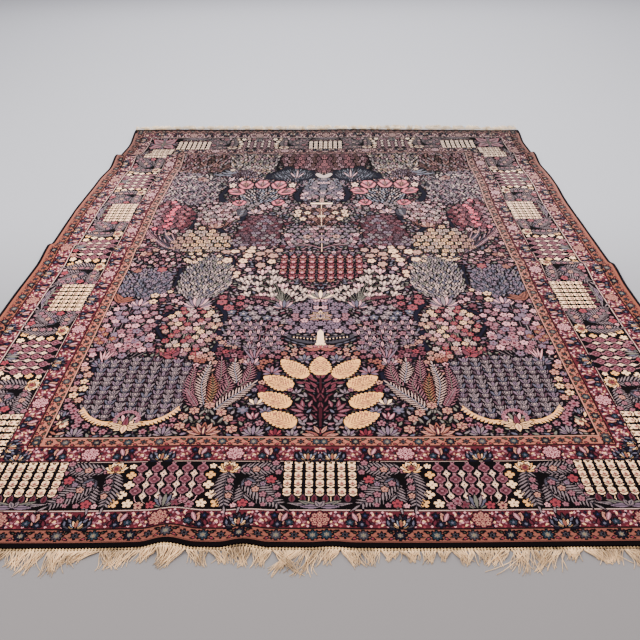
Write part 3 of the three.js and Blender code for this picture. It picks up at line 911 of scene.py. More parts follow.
# %% Plume tree
root = (-394, -1296)
plume = dict(reach=41, thick=4.4, gap=15.5, angle=42)
red, pale = dict(wool="pink", stem="sage"), dict(wool="bone", stem="mist")
frond([(-452, -1200), (-474, -1120), (-480, -1050), (-478, -985)], **red, **plume)
frond([(-412, -1195), (-428, -1130), (-438, -1060), (-428, -985), (-425, -955)], **pale, **plume)
frond([(-385, -1120), (-372, -1040), (-376, -980), (-381, -925)], **red, **plume)
frond([(-396, -1190), (-390, -1140), (-392, -1090), (-402, -1035)], wool="salmon", inner="gold", stem="olive",
    **plume)
frond([(-308, -1070), (-314, -1030), (-325, -985), (-327, -935)], **pale, **plume)
frond([(-300, -1088), (-276, -1050), (-264, -1000), (-268, -955)], **red, **plume)
frond([(-370, -1190), (-352, -1130), (-336, -1080), (-349, -1035)], **red, **plume)
frond([(-372, -1222), (-335, -1170), (-290, -1120), (-252, -1074)], **pale, **(plume | dict(reach=50)))
frond([(-438, -1200), (-462, -1155), (-486, -1108)], wool="pink", inner="rose", reach=22, thick=5.5, gap=10)
for x, y, turn in ((-470, -1290, 60), (-440, -1290, 110), (-425, -1300, 60), (-360, -1300, 120),
        (-345, -1290, 70), (-318, -1300, 110), (-395, -1240, 70), (-395, -1240, 110), (-420, -1250, 60),
        (-370, -1250, 120), (-455, -1255, 300), (-335, -1262, 240)):
    leaf(x, y, 34, 9, turn, "sage", core="grey")
for x, y, r in ((-441, -1226, 19), (-391, -1196, 19), (-345, -1236, 19), (-475, -1257, 18), (-318, -1267, 18),
        (-479, -1306, 19), (-300, -1321, 20)):
    star(x, y, r, "peach", "rose", 6)
fan(-394, -1352, 66, 190, 9, ["salmon", "peach"], width=0.26, cores=["peach", "rose"], low=0.86)
leaf(-394, -1352, 48, 13, 90, "rose", core="cream")
woven("plume tree")

# %% A scalloped leaf
def cream_leaf(x, y, length, width, turn, seed):
    """A large scalloped leaf, its middle mottled pink and gold."""
    c, s = towards(turn)
    part, across, along = loom.patch(x + c * length / 2, y + s * length / 2, length / 2 + width / 2)
    run, aside = across * c + along * s + length / 2, along * c - across * s
    share = np.clip(run / length, 0, 1)
    half = width / 2 * np.sin(np.pi * share ** 0.72) ** 0.62
    notch = 1 - 0.2 * (0.5 + 0.5 * np.cos(run * 2 * math.pi / 15 + np.sign(aside) * 0.6)) ** 2
    part[(np.abs(aside) < half + 3) & (share > 0) & (share < 1)] = loom.ground
    body = (np.abs(aside) < half * notch) & (share > 0) & (share < 1)
    part[body] = INK["straw"]
    rim = body & (np.abs(aside) > half * notch - 2.2)
    part[rim & (np.sin(run * 0.9) > 0.2)] = INK["gold"]
    vein = body & (np.abs(aside) < half * 0.72) & (share > 0.12) & (share < 0.86)
    slant = np.cos((run - np.abs(aside) * 0.9) * 2 * math.pi / 12.5)
    part[vein & (slant > 0.55)] = INK["salmon"]
    rng = np.random.default_rng(seed)
    for _ in range(int(length * width / 230)):
        r, a = rng.uniform(0.18, 0.72), rng.uniform(-0.5, 0.5)
        px, py = x + c * length * r - s * width * 0.62 * a, y + s * length * r + c * width * 0.62 * a
        leaf(px, py, 10, 4.6, turn + (40 if a > 0 else -40), "gold" if rng.random() < 0.5 else "coral")


# %% Tree of cream leaves
loom.thread([(0, -1330), (-3, -1200), (0, -1010)], "wine", 5)
for x, y, turn, long in ((-8, -1100, 128, 52), (-20, -1120, 150, 46), (-12, -1060, 140, 50),
        (-35, -1075, 160, 44), (-30, -1040, 115, 38), (-5, -1040, 110, 34), (-48, -1050, 140, 40),
        (-40, -1100, 120, 34), (-62, -1070, 165, 30)):
    leaf(x, y, long, 13, turn, "rose", core="ruby")
for x, y, turn, long in ((-62, -1215, 95, 52), (-58, -1222, 130, 50), (-62, -1232, 160, 50),
        (-55, -1245, 190, 40), (-40, -1205, 75, 40), (-50, -1255, 225, 30)):
    leaf(x, y, long, 15, turn, "rose", core="pink")
for x, y, turn, long in ((-14, -1180, 112, 44), (-10, -1230, 118, 44), (-14, -1160, 68, 40),
        (-6, -1130, 100, 40), (-12, -1270, 128, 40), (-20, -1150, 140, 36), (-8, -1210, 80, 36)):
    leaf(x, y, long, 10, turn, "wine", core="rose")
for x, y, turn in ((-88, -1130, 90), (-92, -1128, 130), (-84, -1128, 60), (-50, -1150, 110),
        (-58, -1148, 150), (-60, -1290, 60), (-66, -1292, 110), (-50, -1300, 150), (-30, -1275, 100),
        (-90, -1325, 80)):
    leaf(x, y, 30, 10, turn, "grey", core="lilac")
cream_leaf(0, -1020, 118, 88, 90, 1)
cream_leaf(-52, -1034, 150, 84, 131, 2)
cream_leaf(-103, -1096, 128, 86, 148, 3)
cream_leaf(-106, -1196, 138, 84, 150, 4)
cream_leaf(-84, -1300, 140, 84, 151, 5)
leaf(0, -1350, 36, 8, 90, "ruby")
for x, y, turn, long, wool in ((-6, -1353, 152, 52, "salmon"), (-20, -1354, 168, 44, "peach"),
        (-4, -1340, 118, 40, "peach")):
    leaf(x, y, long, 13, turn, wool, core="rose")
woven("tree of cream leaves")

# %% Between the trees
fan(-183, -1006, 44, 210, 7, ["lilac", "pink"], width=0.26, low=0.8)
blossom(-272, -1222, 22, "steel", "lilac", petals=6, rim="slate")
flowers("rose", "wine", (-218, -935, 17.6, "salmon"), (-228, -968, 14.9, "salmon"), (-216, -1065, "peach"),
    (-212, -1105, 17.6, "ruby"), (-222, -1090), (-272, -1270), (-246, -1300, "pink"),
    (-208, -1290, 14.9, "pink"), (-262, -1322, 12.2), (-110, -1108, 10.8, "pink"),
    (-240, -1108, 10.8, "lilac"), size=13.5)
fan(-230, -1192, 42, 150, 5, ["grey", "ivory"])
fan(-192, -1230, 32, 170, 5, ["steel", "lilac"], turn=100)
for turn, wool in ((60, "pink"), (90, "rose"), (120, "pink")):
    leaf(-236, -1272, 44, 14, turn, wool, core="shell")
fan(-226, -1352, 50, 190, 9, ["lilac", "grey"], width=0.24)
fan(-152, -1352, 34, 150, 5, ["ruby", "peony"], width=0.34)
fan(-95, -1352, 34, 150, 5, ["grey", "lilac"], width=0.28)
woven("between the trees")

# %% [markdown]
# Small leaves fill what ground is still bare, in three passes from larger to smaller ones.

# %% Sprigs on the open ground
field = [(-922, -1356), (-922, 1356), (0, 1356), (0, -1356)]
for pitch, room, size, wools in ((17, 11, 24, ("grey", "lilac", "sage", "pink", "steel", "rose")),
        (14, 8, 17, ("grey", "pink", "sage", "mauve", "peach", "slate")), (11, 5.5, 11,
        ("slate", "mauve", "rose", "olive"))):
    rng = np.random.default_rng(size)
    for x, y in lattice(field, pitch, 0.3, size):
        if loom.bare(x, y, room):
            wool = wools[rng.integers(len(wools))]
            turn = (60, 120, 20, 160)[rng.integers(4)] + rng.uniform(-15, 15)
            c, s = towards(turn)
            leaf(x - c * size / 2, y - s * size / 2, size, size * 0.42, turn, wool)
woven("sprigs")

# %% [markdown]
# The border is laid over the field's edge: plain bands first, measured inwards from the rug's edge. The
# real rug's long outer stripes were dyed a little more orange than the ones across its ends.

# %% Bands
BANDS = (("black", 17), ("salmon", 63), ("black", 66), ("red", 128), ("black", 131), ("bone", 134),
    ("black", 334), ("bone", 337), ("black", 341), ("red", 404), ("black", 408), ("coral", 446),
    ("peach", 450), ("black", 454))
OUTER_SALMON, OUTER_RED, INNER_RED, INNER_SALMON = (17, 63), (66, 128), (341, 404), (408, 447)
depth = np.minimum(loom.x[None] + HALF_WIDTH, HALF_LENGTH - np.abs(loom.y[:, None]))
inner = 0
for wool, outer in BANDS:
    loom.knots[(depth >= inner) & (depth < outer)] = INK[wool]
    inner = outer
loom.block(6 - HALF_WIDTH, 64 - HALF_LENGTH, 63 - HALF_WIDTH, HALF_LENGTH - 63, "orange")
loom.block(-HALF_WIDTH, HALF_LENGTH - 30, 0, HALF_LENGTH, "black")
print("border width", BANDS[-1][1], "mm")

# %% [markdown]
# The same border flowers grow inwards from three sides of the half rug. Side lets one drawing serve for
# all: s runs along the side, d inwards from its edge, and a heading of 90 always points inwards.

# %% A side of the border
class Side:
    """The border as seen from one side of the rug."""
    def __init__(self, name):
        self.name = name

    def place(self, s, d):
        if self.name == "near":
            return s, d - HALF_LENGTH
        if self.name == "far":
            return s, HALF_LENGTH - d
        return d - HALF_WIDTH, s

    def heading(self, turn):
        """A heading given as if inwards were up (90) and s ran to the right."""
        if self.name == "near":
            return turn
        if self.name == "far":
            return -turn
        return 90 - turn

    def leaf(self, s, d, length, width, turn, wool, core=None, rim=None, apart=True):
        leaf(*self.place(s, d), length, width, self.heading(turn), wool, core=core, rim=rim, apart=apart)

    def bloom(self, s, d, r, wool, heart=None, **settings):
        blossom(*self.place(s, d), r, wool, heart, turn=self.heading(90), **settings)

    def fan(self, s, d, r, spread, blades, wools, **settings):
        fan(*self.place(s, d), r, spread, blades, wools, turn=self.heading(90), **settings)

    def thread(self, points, wool, width=2.0, tip=None):
        loom.thread([self.place(s, d) for s, d in points], wool, width, tip)

    def frond(self, points, reach, wool, **settings):
        frond([self.place(s, d) for s, d in points], reach, wool, **settings)


print("the near edge's middle is at", Side("near").place(0, 0))

# %% [markdown]
# Along the broad middle band, plots of round cream flowers take turns with plots of rose cups, and
# feather leaves fill the ground between them.

# %% Cream plots
def cream_plot(side, s):
    """Round cream flowers in seven columns over a row of red buds."""
    for u in (-90, -60, -32, 32, 60, 90):
        side.thread([(s + u * 0.3, 152), (s + u, 168), (s + u * 1.02, 188)], "ivory", 3)
    for u in (-84, -51, -17, 17, 51, 84):
        side.leaf(s + u, 162, 34, 19, 90, "ruby", rim="mauve", core="wine")
    for turn, long, wool in ((8, 100, "grey"), (172, 100, "grey"), (20, 70, "sage"), (160, 70, "sage"),
            (0, 60, "lilac"), (180, 60, "lilac"), (60, 26, "grey"), (120, 26, "grey")):
        side.leaf(s, 146, long, 15, turn, wool, core="slate")
    for column in range(-3, 4):
        u = column * 33.5
        side.thread([(s + u, 185), (s + u, 330)], "cream", 3.2)
        for row, d in enumerate((205, 240, 274, 308)):
            side.bloom(s + u, d, 14.2, "ivory", None, petals=6, depth=0.07, rim="cream")
            for step in (-1, 1):
                side.bloom(s + u, d + step * 5, 12, "ivory", None, petals=6, depth=0.06)
            side.bloom(s + u, d, 8, "peach", "salmon", petals=6, depth=0.3, share=0.45)
            for turn in (25, 155):
                side.leaf(s + u, d + 17, 12, 4.5, turn, "olive" if row % 2 else "brown")
        side.leaf(s + u + 5, 322, 14, 8, 60, "ivory")
        side.leaf(s + u - 5, 322, 14, 8, 120, "ivory")


# %% Rose plots
def rose_plot(side, s):
    """Rose cups and cream diamonds on stems, over a fan of grey leaves."""
    for u in (-97, -49, 0, 47, 95):
        side.thread([(s + u * 0.5, 150), (s + u * 0.96, 178), (s + u, 320)], "shell", 2.6)
        for d in (209, 257, 305):
            side.bloom(s + u, d, 17, "rose", None, petals=4, depth=0.12, rim="pink")
            side.bloom(s + u, d, 9, "wine", "pink", petals=4, share=0.5)
            for turn in (60, 120):
                side.leaf(s + u, d + 17, 12, 5, turn, "pink")
    for u in (-71, -25, 24, 71):
        side.thread([(s + u * 0.5, 150), (s + u, 175), (s + u, 290)], "bone", 2.4)
        for d in (188, 234, 281):
            for turn in (0, 90, 180, 270):
                side.leaf(s + u, d, 17 if turn % 180 else 12, 11, turn, "bone", apart=False)
            side.bloom(s + u, d, 8.5, "ivory", "rose", petals=6, share=0.4)
    side.fan(s, 138, 58, 120, 7, ["sage", "grey", "steel"], width=0.2, low=0.7)
    for u, d, wool in ((-40, 152, "peony"), (35, 154, "rose"), (75, 150, "pink"), (-76, 150, "peach"),
            (55, 168, "pink")):
        side.bloom(s + u, d, 15, wool, "ruby")
    for hand in (-1, 1):
        for u, d, r in ((124, 276, 15), (122, 234, 16), (136, 195, 17), (156, 160, 18), (110, 158, 16),
                (127, 314, 11)):
            side.bloom(s + hand * u, d, r, "ivory" if d % 4 else "straw", "gold", petals=5 if d % 3 else 4,
                depth=0.36, share=0.2)


# %% Feather leaves between the plots
def frond_field(side, s, hand):
    """Feather leaves and a lotus that fill the border from a rose plot towards the next cream plot."""
    at = lambda u, d: (s + hand * u, d)
    wools = dict(stem="slate", gap=13, thick=5.4, angle=48)
    side.frond([at(246, 268), at(296, 250), at(346, 232)], 34, "grey", **wools)
    side.frond([at(238, 244), at(234, 205), at(226, 146)], 44, "grey", **wools)
    side.frond([at(212, 300), at(262, 302), at(346, 306)], 42, "grey", **wools)
    side.frond([at(180, 290), at(172, 225), at(180, 146)], 46, "grey", **wools)
    side.frond([at(228, 256), at(282, 206), at(346, 152)], 56, "grey", **wools)
    for turn in (250, 290, 330):
        side.leaf(*at(236, 262), 40, 14, 90 + hand * (turn - 90), "slate", core="steel")
    for u, d, r, wool in ((205, 293, 12, "pink"), (234, 299, 13, "pink"), (265, 300, 13, "peach"),
            (297, 303, 12, "pink"), (244, 240, 13, "pink"), (268, 216, 13, "peach"), (292, 195, 13, "pink"),
            (315, 174, 13, "pink"), (188, 252, 12, "pink"), (186, 222, 13, "pink"), (188, 190, 12, "peach"),
            (314, 256, 18, "peony"), (234, 158, 18, "peony"), (325, 328, 13, "pink"), (331, 222, 12, "pink"),
            (262, 152, 11, "pink"), (207, 150, 11, "shell"), (335, 288, 12, "pink"), (290, 238, 11, "lilac"),
            (338, 192, 11, "pink"), (296, 154, 10, "pink")):
        side.bloom(*at(u, d), r - 1.5, wool, "ruby" if wool == "peony" else "rose", depth=0.28, share=0.3)
    for turn, long in ((205, 30), (335, 30), (170, 36), (10, 36), (145, 34), (35, 34), (90, 30), (120, 32),
            (60, 32)):
        side.leaf(*at(178, 303), long, 22, turn, "straw" if long % 4 else "ivory", core="gold")
    side.bloom(*at(178, 305), 14, "salmon", "ruby", petals=6, share=0.5)


# %% [markdown]
# On both sides of the plots run narrow guard stripes: rosettes on salmon ground, and a vine of cream and
# pink leaves with lilies, palmettes and round clusters on red.

# %% Salmon guard stripes
def salmon_stripe(side, band, start, end, first, pitch, blooms):
    """Rosettes and small buds in turn on the salmon ground; only the outer near one is drawn heavy."""
    low, high = band
    middle, heavy = (low + high) / 2, side.name != "far" and low < 100
    size, rim = (18, "black") if heavy else (15.5, "brown")
    for number, s in enumerate(np.arange(start + (first - start) % pitch, end, pitch)):
        side.bloom(s, middle, size, blooms[number % len(blooms)], None, petals=8, depth=0.24, rim=rim)
        side.bloom(s, middle, size * 0.46, "sage", "gold", petals=6, share=0.36)
        mid = s + pitch / 2
        side.bloom(mid, middle, size * 0.62, "slate", "black", petals=6, rim=rim)
        for hand in (-1, 1):
            side.leaf(s + hand * 18, middle + 7, 17, 7, 90 - hand * 62, "olive",
                rim="black" if heavy else None)
            side.leaf(s + hand * 19, middle - 8, 14, 6, 90 - hand * 116, "teal" if heavy else "brick")
            side.leaf(s + hand * 30, middle - 13, 10, 5, 90 + hand * 70, "peony")
            side.leaf(mid + hand * 8, middle - 9, 13, 5, 90 - hand * 70, "brown")
            side.leaf(mid + hand * 12, middle + 11, 11, 5, 90 - hand * 80, "brick")
    for edge in (low + 2, high - 2):
        side.thread([(start, edge), (end, edge)], "brown" if heavy else "brick", 2.0)


# %% Motifs of the red stripes
def lily_pair(side, s, low, hand):
    """A pair of guard lilies, one over the other, with navy cups."""
    side.bloom(s - hand * 4, low + 30, 27, "wine", None, depth=0.3)
    side.leaf(s + hand * 4, low + 56, 46, 17, 270 - hand * 14, "peach", core="salmon")
    side.leaf(s - hand * 17, low + 56, 38, 14, 270 + hand * 24, "pink", core="shell")
    side.bloom(s + hand * 10, low + 13, 13, "navy", "steel", petals=6, depth=0.3)
    side.bloom(s - hand * 24, low + 20, 11, "teal", "steel")
    side.bloom(s + hand * 20, low + 46, 10, "navy", "blue")
    side.leaf(s + hand * 30, low + 8, 26, 11, 90 + hand * 20, "ruby", rim="wine")


def scroll(side, s, low, hand):
    """Cream and pink arabesque leaves on the red stripe."""
    side.thread([(s + hand * u, low + d) for u, d in ((-36, 8), (-26, 42), (0, 34), (12, 12), (34, 24),
        (38, 56))], "pink", 2.4)
    for u, d, long, turn, wool in ((-34, 20, 19, 130, "cream"), (-30, 34, 18, 40, "pink"),
            (-20, 44, 18, 80, "cream"), (-16, 34, 18, 250, "peach"), (-4, 38, 18, 60, "shell"),
            (0, 28, 18, 200, "cream"), (6, 20, 18, 20, "pink"), (12, 14, 16, 220, "cream"),
            (22, 16, 18, 80, "cream"), (30, 24, 18, 150, "peach"), (36, 36, 17, 30, "pink"),
            (38, 50, 18, 160, "cream"), (14, 40, 18, 95, "pink"), (-12, 12, 16, 60, "pink"),
            (24, 48, 16, 100, "shell")):
        side.leaf(s + hand * u, low + d, long * 0.74, 6.6, 90 + hand * (turn - 90), wool, apart=False)
    for u, d, r in ((-22, 16, 8.5), (20, 34, 8), (-8, 54, 7), (8, 52, 6), (-38, 48, 8), (40, 10, 8),
            (28, 6, 6)):
        side.bloom(s + hand * u, low + d, r, "wine" if r > 7 else "navy", "slate" if r > 7 else None,
            petals=4)
    for u, d in ((-42, 32), (-26, 6), (-4, 4), (-2, 20), (22, 6), (26, 36), (10, 58), (-22, 56), (42, 22),
            (2, 46)):
        side.bloom(s + hand * u, low + d, 4.2, "shell" if u % 4 else "peony", petals=4)


def palmette(side, s, low):
    side.fan(s, low + 2, 48, 200, 11, ["navy", "slate", "navy", "steel"], width=0.22, low=0.76)
    side.fan(s, low + 2, 30, 150, 7, ["gold", "cream", "mist"])
    side.leaf(s, low + 4, 24, 9, 90, "salmon", apart=False)
    for hand in (-1, 1):
        side.leaf(s + hand * 34, low + 8, 26, 11, 90 - hand * 10, "steel", rim="navy")


def cluster(side, s, low, wool):
    side.bloom(s, low + 31, 31, "ruby", None, petals=8, depth=0.12)
    for out, step, size, heart in ((21, 45, 7.5, "wine"), (9, 90, 6.4, "ruby")):
        for turn in range(0, 360, step):
            c, d = towards(turn)
            side.bloom(s + out * c, low + 31 + out * d, size, wool, heart)


# %% Red guard stripes
def red_stripe(side, band, centres, reach):
    low, high = band
    for s in centres:
        if abs(s) > reach:
            continue
        for hand in (-1, 1):
            scroll(side, s + hand * 174, low, hand)
            scroll(side, s + hand * 56, low, -hand)
            lily_pair(side, s + hand * 112, low, hand)
            palmette(side, s + hand * 234, low)
        cluster(side, s, low, "shell" if round(s) % 2 else "peach")


# %% Corners
def corner_star(x, y):
    """The border's corner: a large four-leaf flower."""
    square = [(x - 92, y - 92), (x - 92, y + 92), (x + 92, y + 92), (x + 92, y - 92)]
    for px, py in lattice(square, 26, 0.2, 93):
        leaf(px, py, 20, 9, math.degrees(math.atan2(py - y, px - x)), "grey" if (px + py) % 2 < 1 else "pink")
    for turn in (45, 135, 225, 315):
        leaf(x, y, 112, 62, turn, "pink", core="rose", rim="blush")
    blossom(x, y, 16, "cream", "ruby", petals=6)
    for turn in (0, 90, 180, 270):
        leaf(x, y, 78, 16, turn, "sage", core="slate")
        c, s = towards(turn)
        for aside in (-24, 24):
            leaf(x + 62 * c, y + 62 * s, 36, 10, turn + aside, "lilac")


def corner_vine(end):
    """Leaves and flowers that carry the red stripes round a corner."""
    for inset in (97, 372):
        x, y = inset - HALF_WIDTH, end * (HALF_LENGTH - inset)
        for dx, dy in ((28, 150), (150, 28)):
            strip = [(x - 28, y + end * 28), (x - 28, y - end * dy), (x + dx, y - end * dy),
                (x + dx, y + end * 28)]
            for k, (px, py) in enumerate(lattice(strip, 15, 0.3, 60 + inset)):
                leaf(px, py, 12, 6, 70 * k, ("shell", "wine", "peony", "cream", "slate")[k % 5])
        blossom(x, y, 26, "ruby", "navy", petals=8, depth=0.2, rim="pink", share=0.5)
        blossom(x, y, 9, "cream", "gold", petals=6)


# %% [markdown]
# Now everything is put in its place: the corners' vines, the plots and feather leaves from both sides of
# each rose plot, the four guard stripes, and last the large corner flowers.

# %% Weave the border
for end in (-1, 1):
    corner_vine(end)
for name, reach in (("near", HALF_WIDTH), ("far", HALF_WIDTH), ("left", HALF_LENGTH)):
    side = Side(name)
    long_side = name == "left"
    creams, roses = ((-1350, -445, 460, 1360), (-895, 10, 912)) if long_side else ((-915, 0), (-465,))
    for s in roses:
        rose_plot(side, s)
        for hand in (-1, 1):
            frond_field(side, s, hand)
    for s in creams:
        cream_plot(side, s)
    for band, first, blooms in ((OUTER_SALMON, -20, ("teal", "navy", "slate")),
            (INNER_SALMON, -12, ("slate", "navy", "teal"))):
        start = band[0] + 20 - reach
        salmon_stripe(side, band, start, -start if long_side else 20, first, 104, blooms)
    outer = np.arange(-1880, 1881, 470)
    red_stripe(side, OUTER_RED, outer, reach - 90)
    red_stripe(side, INNER_RED, outer + (235 if long_side else 195), reach - 330)
for end in (-1, 1):
    corner_star(235 - HALF_WIDTH, end * (HALF_LENGTH - 235))
    for inset, size in ((40, 18), (428, 15)):
        for aside in (0, 44):
            blossom(inset + aside - HALF_WIDTH, end * (HALF_LENGTH - inset), size - aside / 8, "teal",
                "gold", petals=8, depth=0.24, rim="brown")
woven("border")

# %% [markdown]
# The half chart and its mirror image make the whole chart.

# %% The whole chart
knot_chart = np.hstack((loom.knots, loom.knots[:, ::-1]))
print("knots", knot_chart.shape)

# %% [markdown]
# The carpet is one sheet of cloth. A grid is added flat, with one face for each block of eight by eight
# knots, then every point is moved to where the cloth lies, and Solidify gives it its thickness downwards, so
# that the underside keeps to the floor. Cloth simulation would only flatten these long low folds, so they are
# placed from the table of ridges and ripples.

# %% Picking a piece
def pick(*pieces):
    """Select these pieces and nothing else, as Blender's operators work on what is selected."""
    bpy.ops.object.select_all(action="DESELECT")
    for piece in pieces:
        piece.select_set(True)
        bpy.context.view_layer.objects.active = piece


def coordinates(mesh):
    values = np.empty(len(mesh.vertices) * 3)
    mesh.vertices.foreach_get("co", values)
    return values.reshape(-1, 3)


# %% The sheet
def crumple(x, y):
    """The small unevenness of a cloth that has been rolled and trodden, in mm."""
    across, along = np.sin(x / 97 + 0.9 * np.sin(y / 180)), np.sin(y / 133 + np.sin(x / 210))
    waves = 0.4 * (1 + across) * (1 + along)
    first_crease = 2.5 * np.exp(-((y - 640 - 0.12 * x) / 42) ** 2)
    second_crease = 2 * np.exp(-((y + 760 + 0.08 * x) / 60) ** 2)
    return waves + first_crease + second_crease


def carpet_sheet():
    pick()
    bpy.ops.mesh.primitive_grid_add(x_subdivisions=FACES_ACROSS, y_subdivisions=FACES_ALONG, size=1)
    carpet = bpy.context.object
    carpet.name = carpet.data.name = "carpet_pile"
    mesh = carpet.data
    flat = coordinates(mesh)
    x, y = flat[:, 0] * RUG_WIDTH, flat[:, 1] * RUG_LENGTH
    laid_x, laid_y = lay_out(x, y)
    top = lift_at(x, y) + RUG_THICKNESS + crumple(x, y)
    mesh.vertices.foreach_set("co", (np.column_stack((laid_x, laid_y, top)) * MM).ravel())
    return carpet, x, y


def face_corners(mesh):
    """For every face of the sheet the numbers of its four corners."""
    loops = np.empty(len(mesh.loops), int)
    mesh.loops.foreach_get("vertex_index", loops)
    return loops.reshape(-1, 4)


carpet, cloth_x, cloth_y = carpet_sheet()
print("faces", len(carpet.data.polygons))

# %% [markdown]
# A face carries its knots with it, as a weaver's card does. Each row of eight knots is two runs of four
# wool numbers, and a run is written as one number with four digits in base 32. Four colour attributes
# with four channels hold the sixteen runs of a face, and a cell map says where in its block a point is.

# %% Knots on the sheet
DIGIT_BASE, RUN = 32, 4


def hang_chart(mesh, chart, x, y):
    corners = face_corners(mesh)
    column = np.rint((x[corners].min(1) / RUG_WIDTH + 0.5) * FACES_ACROSS).astype(int)
    row = np.rint((y[corners].min(1) / RUG_LENGTH + 0.5) * FACES_ALONG).astype(int)
    blocks = chart.reshape(FACES_ALONG, KNOTS_A_FACE, FACES_ACROSS, KNOTS_A_FACE).transpose(0, 2, 1, 3)
    digits = blocks.reshape(FACES_ALONG, FACES_ACROSS, -1, RUN).astype(float)
    runs = digits @ (float(DIGIT_BASE) ** np.arange(RUN))
    of_face = runs[row, column].astype(np.float32)
    for card in range(4):
        attribute = mesh.attributes.new(f"knots_{card}", "FLOAT_COLOR", "FACE")
        attribute.data.foreach_set("color", np.ascontiguousarray(of_face[:, card * 4:card * 4 + 4]).ravel())
    cell = mesh.uv_layers.new(name="cell")
    weave = mesh.uv_layers.new(name="weave")
    cx, cy = x[corners], y[corners]
    right, upper = cx > cx.mean(1, keepdims=True), cy > cy.mean(1, keepdims=True)
    in_cell = np.stack((right, upper), 2) * float(KNOTS_A_FACE)
    on_rug = np.stack((cx / KNOT_WIDTH, cy / KNOT_LENGTH), 2)
    cell.data.foreach_set("uv", in_cell.ravel())
    weave.data.foreach_set("uv", on_rug.ravel())


hang_chart(carpet.data, knot_chart, cloth_x, cloth_y)
print("wools used", len(np.unique(knot_chart)))

# %% [markdown]
# Shader maths reads better as Python: Value wraps a socket, and each operator adds its Math node. Any
# other node comes from one method, which sets the node's options first and then its inputs.

# %% Shader maths
class Value:
    """One output socket of a material, with arithmetic."""
    def __init__(self, finish, socket):
        self.finish, self.socket = finish, socket

    def math(self, operation, *others):
        return self.finish.node("ShaderNodeMath", {"operation": operation}, (self, *others))[0]

    def __add__(self, other):
        return self.math("ADD", other)

    def __sub__(self, other):
        return self.math("SUBTRACT", other)

    def __mul__(self, other):
        return self.math("MULTIPLY", other)

    def __truediv__(self, other):
        return self.math("DIVIDE", other)

    def after(self, operation, first):
        """The operation with this value as its second number."""
        return self.finish.node("ShaderNodeMath", {"operation": operation}, (first, self))[0]

    def __rsub__(self, other):
        return self.after("SUBTRACT", other)

    def __rtruediv__(self, other):
        return self.after("DIVIDE", other)

    def __rpow__(self, other):
        return self.after("POWER", other)

    __radd__, __rmul__ = __add__, __mul__

    def floor(self):
        return self.math("FLOOR")

    def within(self, low, high):
        return self.math("MAXIMUM", low).math("MINIMUM", high)


# %% [markdown]
# Finish wraps a material with one Principled shader. Constants go straight to the shader's sockets, and
# feed joins a varying value to one of them.

# %% Finishes
class Finish:
    """A material under construction."""
    def __init__(self, name, roughness=0.9, gloss=0.04):
        self.material = bpy.data.materials.new(name)
        self.material.use_nodes = True
        self.tree = self.material.node_tree
        self.shader = self.tree.nodes["Principled BSDF"]
        self.shader.inputs["Roughness"].default_value = roughness
        self.shader.inputs["Specular IOR Level"].default_value = gloss

    def node(self, kind, options=None, inputs=()):
        """Add a node; inputs are given in order, or by name in a dict. Returns its enabled outputs."""
        node = self.tree.nodes.new(kind)
        for key, value in (options or {}).items():
            if key == "stops":
                ramp = node.color_ramp
                while len(ramp.elements) < len(value):
                    ramp.elements.new(1)
                for element, (place, colour) in zip(ramp.elements, value):
                    element.position, element.color = place, colour
            elif key == "interpolation":
                node.color_ramp.interpolation = value
            else:
                setattr(node, key, value)
        pairs = inputs.items() if isinstance(inputs, dict) else enumerate(inputs)
        for key, value in pairs:
            if isinstance(value, Value):
                self.tree.links.new(value.socket, node.inputs[key])
            elif value is not None:
                node.inputs[key].default_value = value
        return [Value(self, socket) for socket in node.outputs if socket.enabled]

    def feed(self, socket, value):
        self.tree.links.new(value.socket, self.shader.inputs[socket])

    def split(self, vector):
        return self.node("ShaderNodeSeparateXYZ", inputs=(vector,))

    def noise(self, vector, scale, detail=2.0, roughness=0.5):
        return self.node("ShaderNodeTexNoise", {"noise_dimensions": "3D"}, {"Vector": vector, "Scale": scale,
            "Detail": detail, "Roughness": roughness})[0]

    def mix(self, share, first, second):
        return self.node("ShaderNodeMix", {"data_type": "RGBA"}, {0: share, 6: first, 7: second})[0]

    def stretch(self, vector, scale):
        return self.node("ShaderNodeMapping", {}, {"Vector": vector, "Scale": scale})[0]

    def bump(self, height, distance, strength=1.0):
        normal = self.node("ShaderNodeBump", {}, {"Strength": strength, "Distance": distance,
            "Height": height})[0]
        self.feed("Normal", normal)


def linear(hex_colour):
    """A dye given as a six-digit screen colour, in the linear values that Blender's sockets use."""
    values = [int(hex_colour[k:k + 2], 16) / 255 for k in (0, 2, 4)]
    return (*(v / 12.92 if v <= 0.04045 else ((v + 0.055) / 1.055) ** 2.4 for v in values), 1)


print("cream in linear values", [round(v, 3) for v in linear(WOOLS["cream"])])


# %% [markdown]
# The pile's colour is looked up knot by knot. The run that a point is in is picked out of the sixteen, its
# digit is taken off with floor and remainder, and a ramp with one flat stop for each dyed wool turns the
# digit into a colour.

